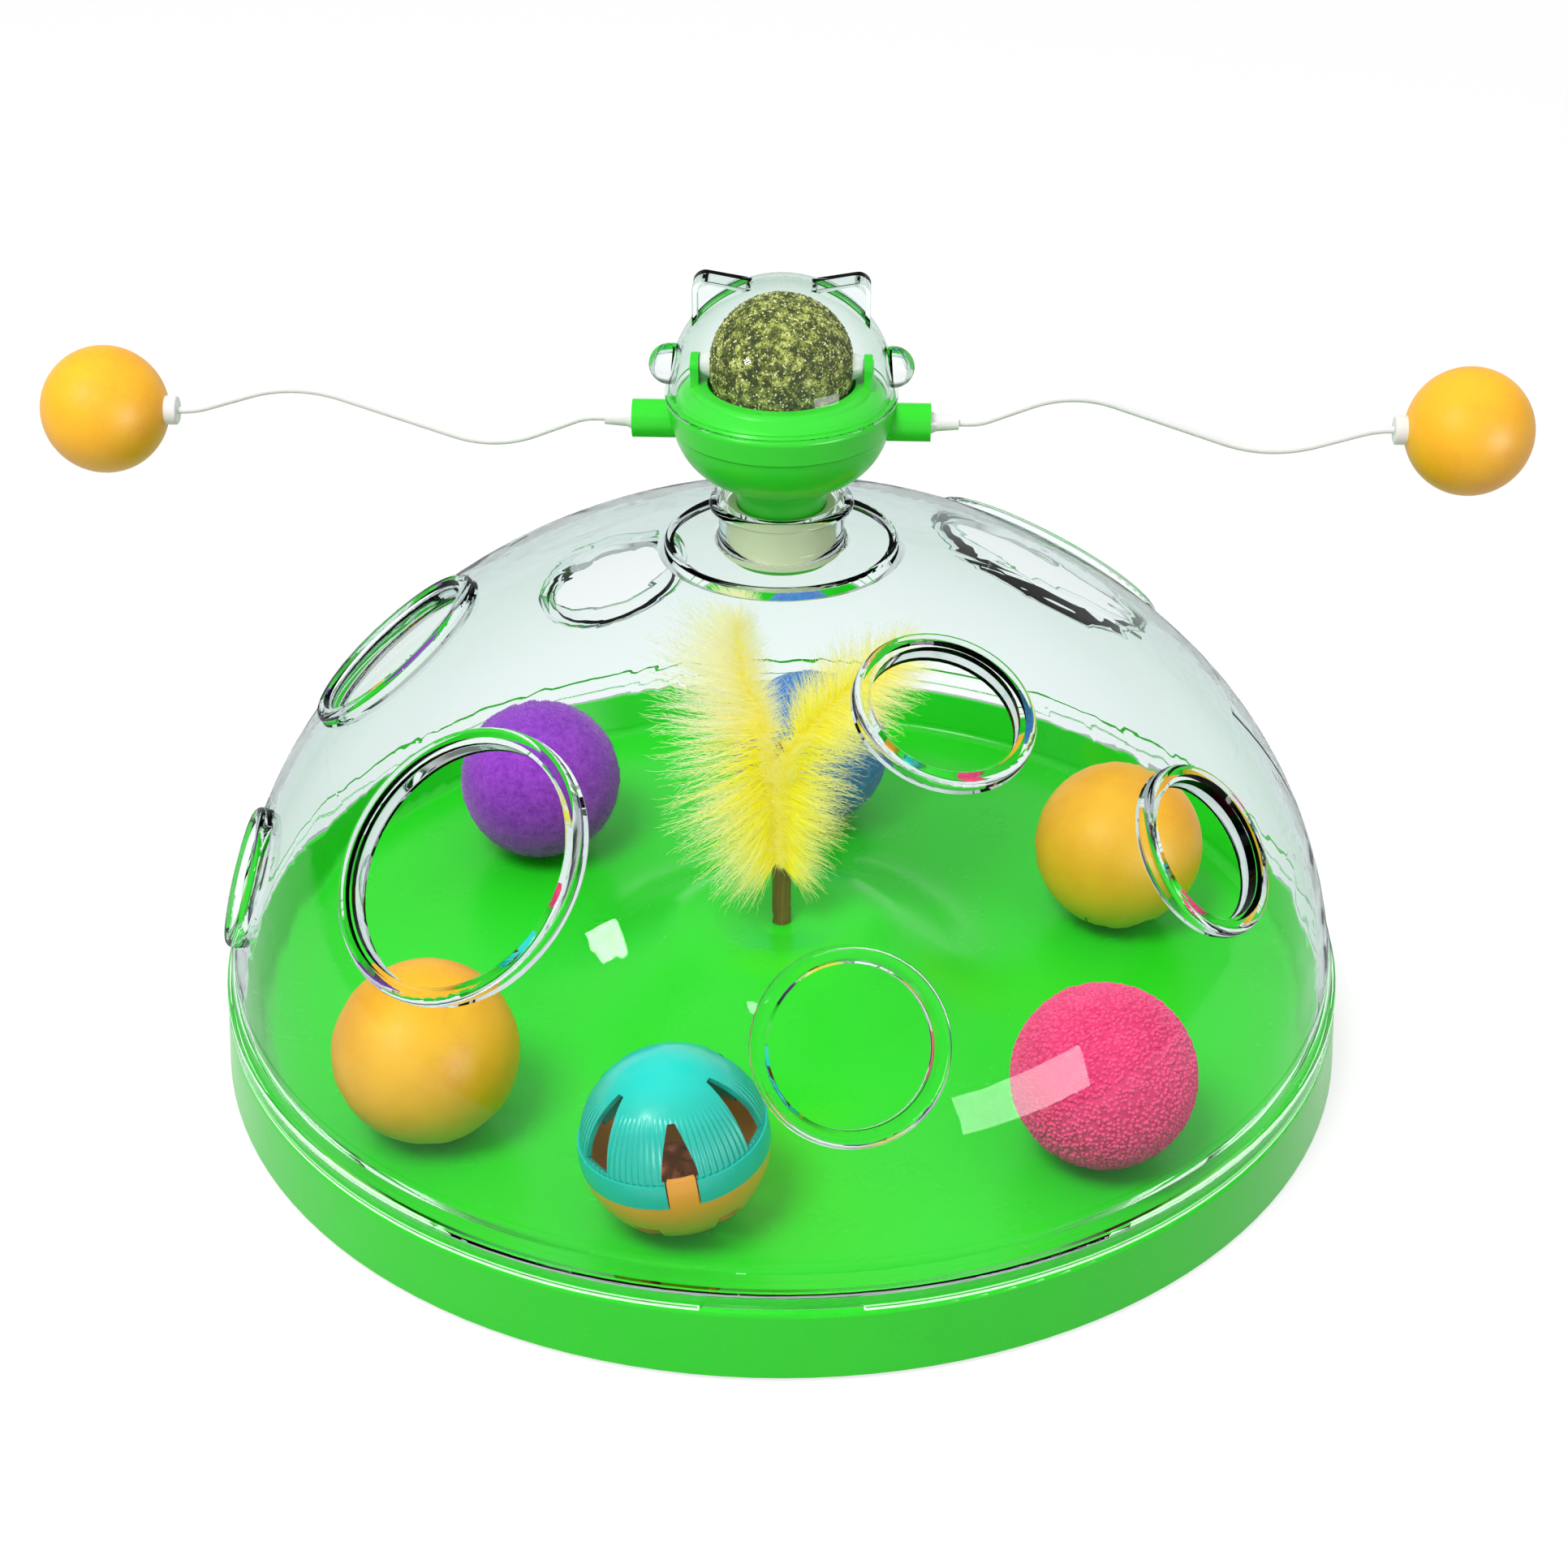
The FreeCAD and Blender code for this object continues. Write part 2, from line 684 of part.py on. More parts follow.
def make_turret_cup():
    body = new_body("turret_cup", ON_TURRET)
    stem_foot = S["bushing_foot"] - S["end_play"]
    shoulder = S["bushing_top"]
    rim, rim_top = S["rim_radius"], S["rim_height"]
    steps = [
        (S["journal_radius"], stem_foot),
        (S["journal_radius"], shoulder),
        (S["stem_radius"] - 0.4, shoulder),
        (S["stem_radius"], S["bowl_foot"]),
        (S["stem_radius"] + 0.9, S["bowl_foot"] + 0.3),
        (S["bowl_radius"], S["bowl_height"], S["bowl_curve"], 1),
        (S["bowl_radius"] + 0.5, S["bowl_height"] + 0.5),
        (rim, rim_top - 1.2),
        (rim - 0.8, rim_top, as_size(1.1), 1),
        (S["collar_radius"], rim_top),
        (S["collar_radius"] - 3.2, S["collar_height"] - 0.8, as_size(6.0), 1),
        (S["collar_radius"] - 5.0, S["collar_height"], as_size(1.7), 1),
        (0, S["collar_height"]),
        (0, stem_foot),
    ]
    turned(body, "Revolution", "bowl", steps)

    nozzle = new_sketch(body, "YZ_Plane", "nozzle_outline", along_normal(0))
    draw_circle(nozzle, 0, S["nozzle_height"], S["nozzle_radius"])
    pushed(body, "Pad", "nozzles", nozzle, S["nozzle_reach"] * 2, both_ways=True)

    posts = new_sketch(body, "YZ_Plane", "post_outline", along_normal(S["post_inside"]))
    half = S["post_width"] * 0.5
    foot = S["rim_height"] - 1
    draw_outline(
        posts,
        [
            (-half, foot),
            (half, foot),
            (half, S["axle_height"]),
            (-half, S["axle_height"], half + 0.05, 1),
        ],
    )
    post = pushed(body, "Pad", "post", posts, S["post_thickness"])
    mirrored(body, "posts", [post])

    pocket = new_sketch(body, "XZ_Plane", "pocket_outline", raised(S["axle_height"]))
    draw_half_disc(pocket, S["pocket_radius"])
    turn_sketch(body, "Groove", "pocket", pocket)

    axle_hole = new_sketch(body, "YZ_Plane", "axle_hole_outline", along_normal(0))
    draw_circle(axle_hole, 0, S["axle_height"], S["axle_radius"] + S["running_gap"])
    pushed(body, "Pocket", "axle_holes", axle_hole, S["rim_radius"] * 2, both_ways=True)

    bore_start = S["nozzle_reach"] - S["nozzle_bore_depth"]
    bore = new_sketch(body, "YZ_Plane", "nozzle_bore_outline", along_normal(bore_start))
    draw_circle(bore, 0, S["nozzle_height"], S["nozzle_bore"])
    nozzle_bore = pushed(body, "Pocket", "nozzle_bore", bore, S["nozzle_bore_depth"] + 2, backwards=True)
    mirrored(body, "nozzle_bores", [nozzle_bore])

    screw_hole = new_sketch(body, "XY_Plane", "screw_hole_outline", along_normal(stem_foot))
    draw_circle(screw_hole, 0, 0, 1.5)
    pushed(body, "Pocket", "screw_hole", screw_hole, 12.0, backwards=True)
    return body


def make_retainer():
    """The washer under the stem and the pan-head screw that holds it."""
    washer = new_body("retaining_washer")
    stem_foot = S["bushing_foot"] - S["end_play"]
    thick = 1.4
    steps = [
        (1.5, stem_foot - thick),
        (11.2, stem_foot - thick),
        (11.2, stem_foot),
        (1.5, stem_foot),
    ]
    turned(washer, "Revolution", "washer", steps)
    screw = new_body("retaining_screw")
    head = stem_foot - thick
    steps = [
        (0, head - 2.0),
        (2.2, head - 2.0),
        (3.2, head - 1.0, as_size(1.05), 1),
        (3.2, head),
        (1.5, head),
        (1.5, stem_foot + 10.0),
        (0, stem_foot + 11.2),
    ]
    turned(screw, "Revolution", "screw", steps)
    slot = new_sketch(screw, "XZ_Plane", "slot_outline", along_normal(0))
    draw_outline(slot, [(-0.4, head - 3), (0.4, head - 3), (0.4, head - 1.1), (-0.4, head - 1.1)])
    pushed(screw, "Pocket", "slot", slot, 8.0, both_ways=True)
    return [washer, screw]


def make_catnip():
    """The white axle with its two cone hubs, and the herb ball moulded round it."""
    axle = new_body("catnip_axle", ON_TURRET)
    reach, thin, hub = S["axle_reach"], S["axle_radius"], S["hub_radius"]
    hub_out = S["post_inside"] - 0.25
    hub_in = S["catnip_radius"] - 1.1
    outline = [
        (hub_in, thin),
        (hub_in, hub),
        (hub_out, hub - 1.1),
        (hub_out, thin),
        (reach, thin),
        (reach, 0),
        (-reach, 0),
        (-reach, thin),
        (-hub_out, thin),
        (-hub_out, hub - 1.1),
        (-hub_in, hub),
        (-hub_in, thin),
    ]
    lift = raised(S["axle_height"])
    turned(axle, "Revolution", "axle", outline, lift, axis="H_Axis")
    ball = new_body("catnip_ball", ON_TURRET)
    radius = S["catnip_radius"]
    half_disc = [(-radius, 0), (0, radius, radius, -1), (radius, 0, radius, -1)]
    turned(ball, "Revolution", "ball", half_disc, lift, axis="H_Axis")
    turned(ball, "Groove", "axle_bore", outline, lift, axis="H_Axis")
    return [axle, ball]


def ear_corners(inset):
    """The left ear's outline seen from the front, inset by the wall for its hollow."""
    tip, outside, inside = S["ear_tip"] - inset, S["ear_outside"] - inset, S["ear_inside"] + inset
    rounding = 2.2
    root_height = S["cover_centre"] + 13
    return [
        (-outside, root_height),
        (-inside - 4, root_height),
        (-inside, tip - 1.6),
        (-outside + rounding + 0.8, tip),
        (-outside, tip - rounding, as_size(2.6), 1),
    ]


def make_cat_cover():
    body = new_body("cat_cover", ON_TURRET)
    centre, radius, wall = S["cover_centre"], S["cover_radius"], S["cover_wall"]
    foot = S["rim_height"] - centre
    flange = S["cover_flange"]
    flange_top = foot + 1.3
    steps = [
        (flange, foot),
        (flange, flange_top),
        (root(radius * radius - flange_top * flange_top), flange_top),
        (0, radius, radius, 1),
        (0, foot),
    ]
    turned(body, "Revolution", "cap", steps, raised(centre))

    knob_end = S["knob_reach"]
    knob = S["knob_radius"]
    start = radius - 4
    steps = [(start, 0), (knob_end, 0), (knob_end - knob, knob, knob, 1), (start, knob)]
    turned_knob = turned(body, "Revolution", "knob", steps, raised(S["axle_height"]), axis="H_Axis")
    mirrored(body, "knobs", [turned_knob])

    ear = new_sketch(body, "XZ_Plane", "ear_outline", along_normal(0))
    draw_outline(ear, ear_corners(as_size(0)))
    solid_ear = pushed(body, "Pad", "ear", ear, S["ear_depth"], both_ways=True)
    mirrored(body, "ears", [solid_ear])

    hollow_ear = new_sketch(body, "XZ_Plane", "ear_hollow_outline", along_normal(0))
    draw_outline(hollow_ear, ear_corners(wall * 0.85))
    ear_pocket = pushed(body, "Pocket", "ear_hollow", hollow_ear, S["ear_depth"] - wall * 2, both_ways=True)
    mirrored(body, "ear_hollows", [ear_pocket])

    inner = radius - wall
    below = foot - 1
    steps = [
        (root(inner * inner - below * below), below),
        (0, inner, inner, 1),
        (0, below),
    ]
    turned(body, "Groove", "hollow", steps, raised(centre))
    return body


# Wire arms


def arm_place(side):
    """The frame of an arm: its X axis runs outwards along the nozzle."""
    turn = TURRET_TURN if side > 0 else TURRET_TURN * Rotation(Vector(0, 1, 0), 180)
    return Placement(Vector(0, 0, S["nozzle_height"].value), turn)


def wire_path():
    """The wavy route of a wire: straight runs joined by arcs as large as the runs allow."""
    start = S["wire_flex_point"].value
    end = S["swat_centre"].value - S["swat_radius"].value + 1.2
    route = [
        Vector(start, 0, 0),
        Vector(start + 5, 0, 0),
        Vector(61, 7.6, 0),
        Vector(103, -6.8, 0),
        Vector(end - 7, 0, 0),
        Vector(end, 0, 0),
    ]
    edges = []
    here = route[0]
    for before, corner, after in zip(route, route[1:], route[2:]):
        back, on = (before - corner), (after - corner)
        turn = math.pi - back.getAngle(on)
        setback = 0.45 * min(back.Length, on.Length)
        radius = setback / math.tan(turn / 2)
        arc_start = corner + back.normalize() * setback
        arc_end = corner + on.normalize() * setback
        middle = corner + (back + on).normalize() * (radius / math.cos(turn / 2) - radius)
        edges.append(Part.LineSegment(here, arc_start))
        edges.append(Part.Arc(arc_start, middle, arc_end))
        print(f"wire bend radius {radius:.1f} mm")
        here = arc_end
    edges.append(Part.LineSegment(here, route[-1]))
    return edges


def make_arm(side, name):
    """One arm: strain relief, wire with a rounded root, plug and hollow swat ball."""
    place = arm_place(side)
    relief = new_body(name + "_strain_relief", place)
    mouth, flex = S["relief_reach"], S["wire_flex_point"]
    wire = S["wire_radius"]
    seat = wire + S["running_gap"]
    root_depth = flex - seat
    steps = [
        (S["relief_root"], 0),
        (S["relief_root"], S["nozzle_bore"]),
        (S["nozzle_reach"], S["nozzle_bore"]),
        (S["nozzle_reach"] + 1.2, 1.85),
        (mouth, 1.45),
        (mouth, seat + 0.25),
        (flex, seat),
        (root_depth, seat),
        (root_depth, 0),
    ]
    turned(relief, "Revolution", "relief", steps, axis="H_Axis")

    arm_wire = new_body(name + "_wire", place)
    spine = new_sketch(arm_wire, "XZ_Plane", "wave")
    edges = wire_path()
    spine.addGeometry(edges, False)
    for edge in range(len(edges)):
        spine.addConstraint(Sketcher.Constraint("Block", edge))
    section = new_sketch(arm_wire, "YZ_Plane", "wire_section", along_normal(flex))
    draw_circle(section, 0, 0, wire)
    pipe = arm_wire.newObject("PartDesign::AdditivePipe", "wave_pipe")
    pipe.Profile = section
    pipe.Spine = spine
    arm_wire.Tip = pipe
    quarter = [(flex, 0), (flex - wire, 0), (flex, wire, wire, -1)]
    turned(arm_wire, "Revolution", "rounded_root", quarter, axis="H_Axis")

    plug = new_body(name + "_ball_plug", place)
    shell_start = S["swat_centre"] - S["swat_radius"]
    wire_end = shell_start + 1.2
    plug_end = shell_start + S["shell_wall"] + 1.6
    proud = shell_start - S["plug_proud"]
    steps = [
        (proud, wire),
        (proud, S["plug_radius"] - 0.5),
        (proud + 0.5, S["plug_radius"], as_size(0.5), -1),
        (plug_end, S["plug_radius"]),
        (plug_end, 0),
        (wire_end, 0),
        (wire_end, wire),
    ]
    turned(plug, "Revolution", "plug", steps, axis="H_Axis")

    centre = place.multiply(Placement(Vector(S["swat_centre"].value, 0, 0), Rotation()))
    outer = primitive("Sphere", name + "_ball_outside", centre, Radius=S["swat_radius"])
    inner = primitive("Sphere", name + "_ball_inside", centre, Radius=S["swat_radius"] - S["shell_wall"])
    shell = cut(name + "_ball_shell", outer, inner)
    across = Placement(Vector(proud.value, 0, 0), Rotation(Vector(0, 1, 0), 90))
    drill = primitive("Cylinder", name + "_ball_drill", place.multiply(across), Radius=S["plug_radius"], Height=8)
    ball = cut(name + "_swat_ball", shell, drill)
    return [relief, arm_wire, plug, ball]


# Balls on the track


def track_place(across, along, turn=0.0):
    height = S["floor_height"].value + S["track_radius"].value + S["rolling_gap"].value
    return Placement(Vector(across, along, height), Rotation(Vector(0, 0, 1), turn))


def make_track_balls():
    balls = []
    for name, (across, along) in TRACK_BALLS.items():
        place = track_place(across, along)
        if name in HOLLOW_BALLS:
            outer = primitive("Sphere", name + "_outside", place, Radius=S["track_radius"])
            inner = primitive("Sphere", name + "_inside", place, Radius=S["track_radius"] - S["shell_wall"])
            balls.append(cut(name, outer, inner))
        else:
            balls.append(primitive("Sphere", name, place, Radius=S["track_radius"]))
    return balls


def cage_half(name, upper):
    """One half of the bell ball's cage: a shell with curved windows and four interlocking tabs."""
    body = new_body(name, track_place(*BELL_BALL_PLACE, BELL_BALL_TURN))
    radius, wall, seam = S["track_radius"], S["cage_wall"], S["cage_seam"]
    inner = radius - wall
    edge = root(radius * radius - seam * seam)
    inner_edge = root(inner * inner - seam * seam)
    if upper:
        steps = [
            (edge, -seam),
            (radius, 0, radius, 1),
            (0, radius, radius, 1),
            (0, inner),
            (inner, 0, inner, -1),
            (inner_edge, -seam, inner, -1),
        ]
    else:
        steps = [(0, -radius), (edge, -seam, radius, 1), (inner_edge, -seam), (0, -inner, inner, -1)]
    turned(body, "Revolution", "shell", steps)

    half_tab = S["tab_width"] * 0.5
    if upper:
        notch = new_sketch(body, "XZ_Plane", "notch_outline", along_normal(0))
        corners = [(-half_tab, -seam - 1), (half_tab, -seam - 1), (half_tab, seam), (-half_tab, seam)]
        draw_outline(notch, corners)
        cut_front = pushed(body, "Pocket", "notch", notch, radius + 1)
        repeated(body, "notches", [cut_front], notch, 4)
    else:
        steps = [
            (edge, -seam),
            (radius, 0, radius, 1),
            (edge, seam, radius, 1),
            (inner_edge, seam),
            (inner, 0, inner, -1),
            (inner_edge, -seam, inner, -1),
        ]
        lean = 2 * math.degrees(math.asin(half_tab.value / radius.value))
        tab_turn = Placement(Vector(0, 0, 0), Rotation(Vector(0, 1, 0), 90 - lean / 2))
        tab = new_sketch(body, "XZ_Plane", "tab_outline", tab_turn)
        draw_outline(tab, steps)
        tab_feature = body.newObject("PartDesign::Revolution", "tab")
        tab_feature.Profile = tab
        tab_feature.ReferenceAxis = (tab, ["V_Axis"])
        tab_feature.Angle = lean
        body.Tip = tab_feature
        repeated(body, "tabs", [tab_feature], tab, 4)

    # Windows, each a leaning triangle cut square to the shell half way up its side
    aim = 30.0 if upper else -34.0
    tilt = Rotation(Vector(1, 0, 0), -aim)
    window = new_sketch(body, "XZ_Plane", "window_outline", Placement(Vector(0, 0, 0), tilt))
    foot, tip = (-5.6, 6.4) if upper else (5.0, -6.2)
    lean_over = -1.0
    corners = [(-4.2, foot), (4.2, foot), (lean_over + 0.9, tip), (lean_over - 0.9, tip)]
    if not upper:
        corners.reverse()
    draw_outline(window, corners)
    opening = pushed(body, "Pocket", "window", window, radius + 1, backwards=True)
    repeated(body, "windows", [opening], window, S["window_count"])
    return body


def make_bell():
    """A jingle bell with one slot across its foot, and the pellet in it."""
    centre = track_place(*BELL_BALL_PLACE).Base - Vector(0, 0, S["bell_drop"].value)
    body = new_body("bell_shell", Placement(centre, Rotation()))
    ring = new_sketch(body, "XZ_Plane", "bell_outline", along_normal(0))
    draw_half_disc(ring, S["bell_radius"], S["bell_radius"] - S["bell_wall"])
    turn_sketch(body, "Revolution", "shell", ring)
    band = S["bell_radius"] + 0.35
    steps = [
        (S["bell_radius"] - 0.4, -0.5),
        (band, -0.5),
        (band, 0.5),
        (S["bell_radius"] - 0.4, 0.5),
    ]
    turned(body, "Revolution", "seam", steps)
    slot = new_sketch(body, "XZ_Plane", "slot_outline", along_normal(0))
    slot_half = 0.6
    draw_outline(slot, [(-slot_half, -9), (slot_half, -9), (slot_half, -3.2), (-slot_half, -3.2)])
    pushed(body, "Pocket", "slot", slot, S["bell_radius"] * 2 + 2, both_ways=True)
    # The pellet lies on both edges of the slot
    inside = S["bell_radius"].value - S["bell_wall"].value
    rest = math.sqrt(inside**2 - slot_half**2) - math.sqrt(S["pellet_radius"].value ** 2 - slot_half**2)
    pellet = primitive("Sphere", "bell_pellet", Radius=S["pellet_radius"])
    pellet.Placement = Placement(centre - Vector(0, 0, rest), Rotation())
    return [body, pellet]


# Feather wand


def make_wand():
    """The stick in its socket, and one soft plume on each side of it."""
    crest = mound_outline(as_size(0))[-1][1]
    foot = crest - S["dish_depth"] - S["socket_depth"]
    stick = new_body("wand_stick")
    top = S["stick_top"]
    steps = [
        (0, foot),
        (S["stick_radius"], foot),
        (S["stick_radius"], top - 1),
        (S["stick_radius"] - 1, top, as_size(1.0), 1),
        (0, top),
    ]
    turned(stick, "Revolution", "stick", steps)
    # Each plume: height, distance of its middle from the stick, half width, half depth
    left = [(38, -6.0, 6.0, 5.0), (56, -9.0, 10.6, 8.0), (76, -11.0, 11.2, 8.5), (94, -12.0, 8.6, 7.0), (106, -11.0, 3.0, 3.0)]
    right = [(38, 5.0, 5.5, 5.0), (54, 8.5, 9.2, 8.0), (70, 14.0, 9.8, 8.5), (84, 21.5, 8.6, 7.0), (95, 28.5, 3.2, 3.0)]
    plumes = []
    for name, rings, keep in (("left_plume", left, -1), ("right_plume", right, 1)):
        body = new_body(name + "_whole")
        sections = []
        for number, (height, middle, wide, deep) in enumerate(rings):
            section = new_sketch(body, "XY_Plane", f"{name}_ring_{number}", along_normal(height))
            axes = (wide, deep) if wide >= deep else (deep, wide)
            major = Vector(middle + wide, 0, 0)
            minor = Vector(middle, deep, 0)
            section.addGeometry(Part.Ellipse(major, minor, Vector(middle, 0, 0)), False)
            sections.append(section)
        loft = body.newObject("PartDesign::AdditiveLoft", name + "_loft")
        loft.Profile = sections[0]
        loft.Sections = sections[1:]
        body.Tip = loft
        clear = 0.4
        half = primitive("Box", name + "_half", Length=80, Width=80, Height=160)
        half.Placement = Placement(Vector(clear - 80 if keep > 0 else -clear, -40, 0), Rotation())
        trimmed = cut(name + "_side", body, half)
        plumes.append(cut(name, trimmed, stick))
    return [stick, *plumes]


def build():
    pieces = [make_base_tray(), make_pads(), make_dome(), make_bushing(), make_turret_cup()]
    pieces += make_retainer()
    pieces += make_catnip()
    pieces.append(make_cat_cover())
    pieces += make_arm(-1, "left") + make_arm(1, "right")
    pieces += make_track_balls()
    pieces += [cage_half("bell_cage_upper", True), cage_half("bell_cage_lower", False)]
    pieces += make_bell()
    pieces += make_wand()
    doc.recompute()
    return pieces


def check(pieces):
    for item in doc.Objects:
        if "Invalid" in item.State or "Error" in item.State:
            raise RuntimeError(f"{item.Label} did not compute: {item.State}")
    for piece in pieces:
        if piece.Shape.isNull() or not piece.Shape.isValid() or not piece.Shape.Solids:
            raise RuntimeError(f"{piece.Label} has no valid solid")


def export(pieces):
    os.makedirs("parts", exist_ok=True)
    for piece in pieces:
        piece.Shape.exportStep(f"parts/{piece.Label}.step")
        solids = len(piece.Shape.Solids)
        print(f"{piece.Label}: {solids} solid, {piece.Shape.Volume / 1000:.2f} cm3")


pieces = build()
check(pieces)
export(pieces)
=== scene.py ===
import bpy
import bmesh
import math
import random
from mathutils import Matrix, Vector, noise


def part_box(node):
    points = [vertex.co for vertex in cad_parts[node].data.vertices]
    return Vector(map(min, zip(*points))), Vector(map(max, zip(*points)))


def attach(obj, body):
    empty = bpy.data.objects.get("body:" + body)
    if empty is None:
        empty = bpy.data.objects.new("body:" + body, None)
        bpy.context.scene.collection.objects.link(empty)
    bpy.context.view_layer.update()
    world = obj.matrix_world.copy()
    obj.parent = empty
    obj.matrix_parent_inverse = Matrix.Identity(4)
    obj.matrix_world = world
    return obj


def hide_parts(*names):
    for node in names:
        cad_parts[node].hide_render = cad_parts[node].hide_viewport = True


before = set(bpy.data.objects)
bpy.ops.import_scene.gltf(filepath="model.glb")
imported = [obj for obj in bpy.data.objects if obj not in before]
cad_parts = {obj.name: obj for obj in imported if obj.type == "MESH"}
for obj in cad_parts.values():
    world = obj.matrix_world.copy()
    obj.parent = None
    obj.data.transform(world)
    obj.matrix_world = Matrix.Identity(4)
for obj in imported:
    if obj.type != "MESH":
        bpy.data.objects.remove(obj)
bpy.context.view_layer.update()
mm = 0.001


# Shader nodes written as expressions

class Socket:
    def __init__(self, tree, out):
        self.tree = tree
        self.out = out

    def maths(self, operation, other=None, swap=False):
        node = self.tree.nodes.new("ShaderNodeMath")
        node.operation = operation
        first, second = (other, self) if swap else (self, other)
        for number, value in enumerate((first, second)):
            if isinstance(value, Socket):
                self.tree.links.new(value.out, node.inputs[number])
            elif value is not None:
                node.inputs[number].default_value = value
        return Socket(self.tree, node.outputs[0])

    def __add__(self, other):
        return self.maths("ADD", other)

    __radd__ = __add__

    def __sub__(self, other):
        return self.maths("SUBTRACT", other)

    def __rsub__(self, other):
        return self.maths("SUBTRACT", other, True)

    def __mul__(self, other):
        return self.maths("MULTIPLY", other)

    __rmul__ = __mul__

    def __pow__(self, other):
        return self.maths("POWER", other)

    def limit(self):
        return self.maths("MAXIMUM", 0.0).maths("MINIMUM", 1.0)


class Finish:
    # One material or sky: node() adds any node, shade() writes the Principled shader
    def __init__(self, name, sky=False):
        self.material = (bpy.data.worlds if sky else bpy.data.materials).new(name)
        self.material.use_nodes = True
        self.tree = self.material.node_tree
        self.tree.nodes.clear()
        self.end = self.tree.nodes.new("ShaderNodeOutputWorld" if sky else "ShaderNodeOutputMaterial")

    def node(self, kind, settings=None, inputs=None, output=0):
        made = self.tree.nodes.new("ShaderNode" + kind)
        for key, value in (settings or {}).items():
            if key == "stops":
                ramp = made.color_ramp
                while len(ramp.elements) < len(value):
                    ramp.elements.new(0.5)
                for stop, (place, colour) in zip(ramp.elements, value):
                    stop.position = place
                    stop.color = (*colour, 1) if len(colour) == 3 else colour
            else:
                setattr(made, key, value)
        for key, value in (inputs or {}).items():
            target = made.inputs[key]
            if isinstance(value, Socket):
                self.tree.links.new(value.out, target)
            else:
                target.default_value = value
        return Socket(self.tree, made.outputs[output])

    def place(self):
        return self.node("TexCoord", output="Object")

    def offCentre(self, centre, axes):
        # How far a point lies from a piece's own centre along each of its axes
        moved = self.node("VectorMath", {"operation": "SUBTRACT"}, {0: self.place(), 1: centre})
        return [self.node("VectorMath", {"operation": "DOT_PRODUCT"}, {0: moved, 1: axis}, "Value") for axis in axes]

    def rayIs(self, *kinds):
        # 1 where the ray is of one of these kinds
        total = 0.0
        for kind in kinds:
            total = self.node("LightPath", {}, {}, "Is " + kind + " Ray") + total
        return total.limit()

    def attribute(self, name):
        return self.node("Attribute", {"attribute_name": name}, {}, "Fac")

    def noise(self, scale, detail=3, roughness=0.5, where=None):
        inputs = {"Vector": where or self.place(), "Scale": scale, "Detail": detail, "Roughness": roughness}
        return self.node("TexNoise", {}, inputs)

    def cells(self, scale, where=None):
        return self.node("TexVoronoi", {}, {"Vector": where or self.place(), "Scale": scale})

    def bump(self, height, distance, strength=1.0):
        return self.node("Bump", {}, {"Height": height, "Distance": distance, "Strength": strength})

    def ramp(self, factor, stops):
        return self.node("ValToRGB", {"stops": stops}, {"Fac": factor})

    def mix(self, factor, first, second):
        made = self.tree.nodes.new("ShaderNodeMix")
        made.data_type = "RGBA"
        for key, value in ((0, factor), (6, first), (7, second)):
            if isinstance(value, Socket):
                self.tree.links.new(value.out, made.inputs[key])
            else:
                made.inputs[key].default_value = (*value, 1) if key and len(value) == 3 else value
        return Socket(self.tree, made.outputs[2])

    def shade(self, **values):
        inputs = {}
        for key, value in values.items():
            colour = isinstance(value, tuple) and "Radius" not in key
            inputs[key.replace("_", " ")] = (*value, 1) if colour else value
        return self.show(self.node("BsdfPrincipled", {}, inputs))

    def show(self, surface):
        self.tree.links.new(surface.out, self.end.inputs["Surface"])
        return self.material


anyWay = 6.28


def addObject(name, data):
    made = bpy.data.objects.new(name, data)
    bpy.context.scene.collection.objects.link(made)
    return made


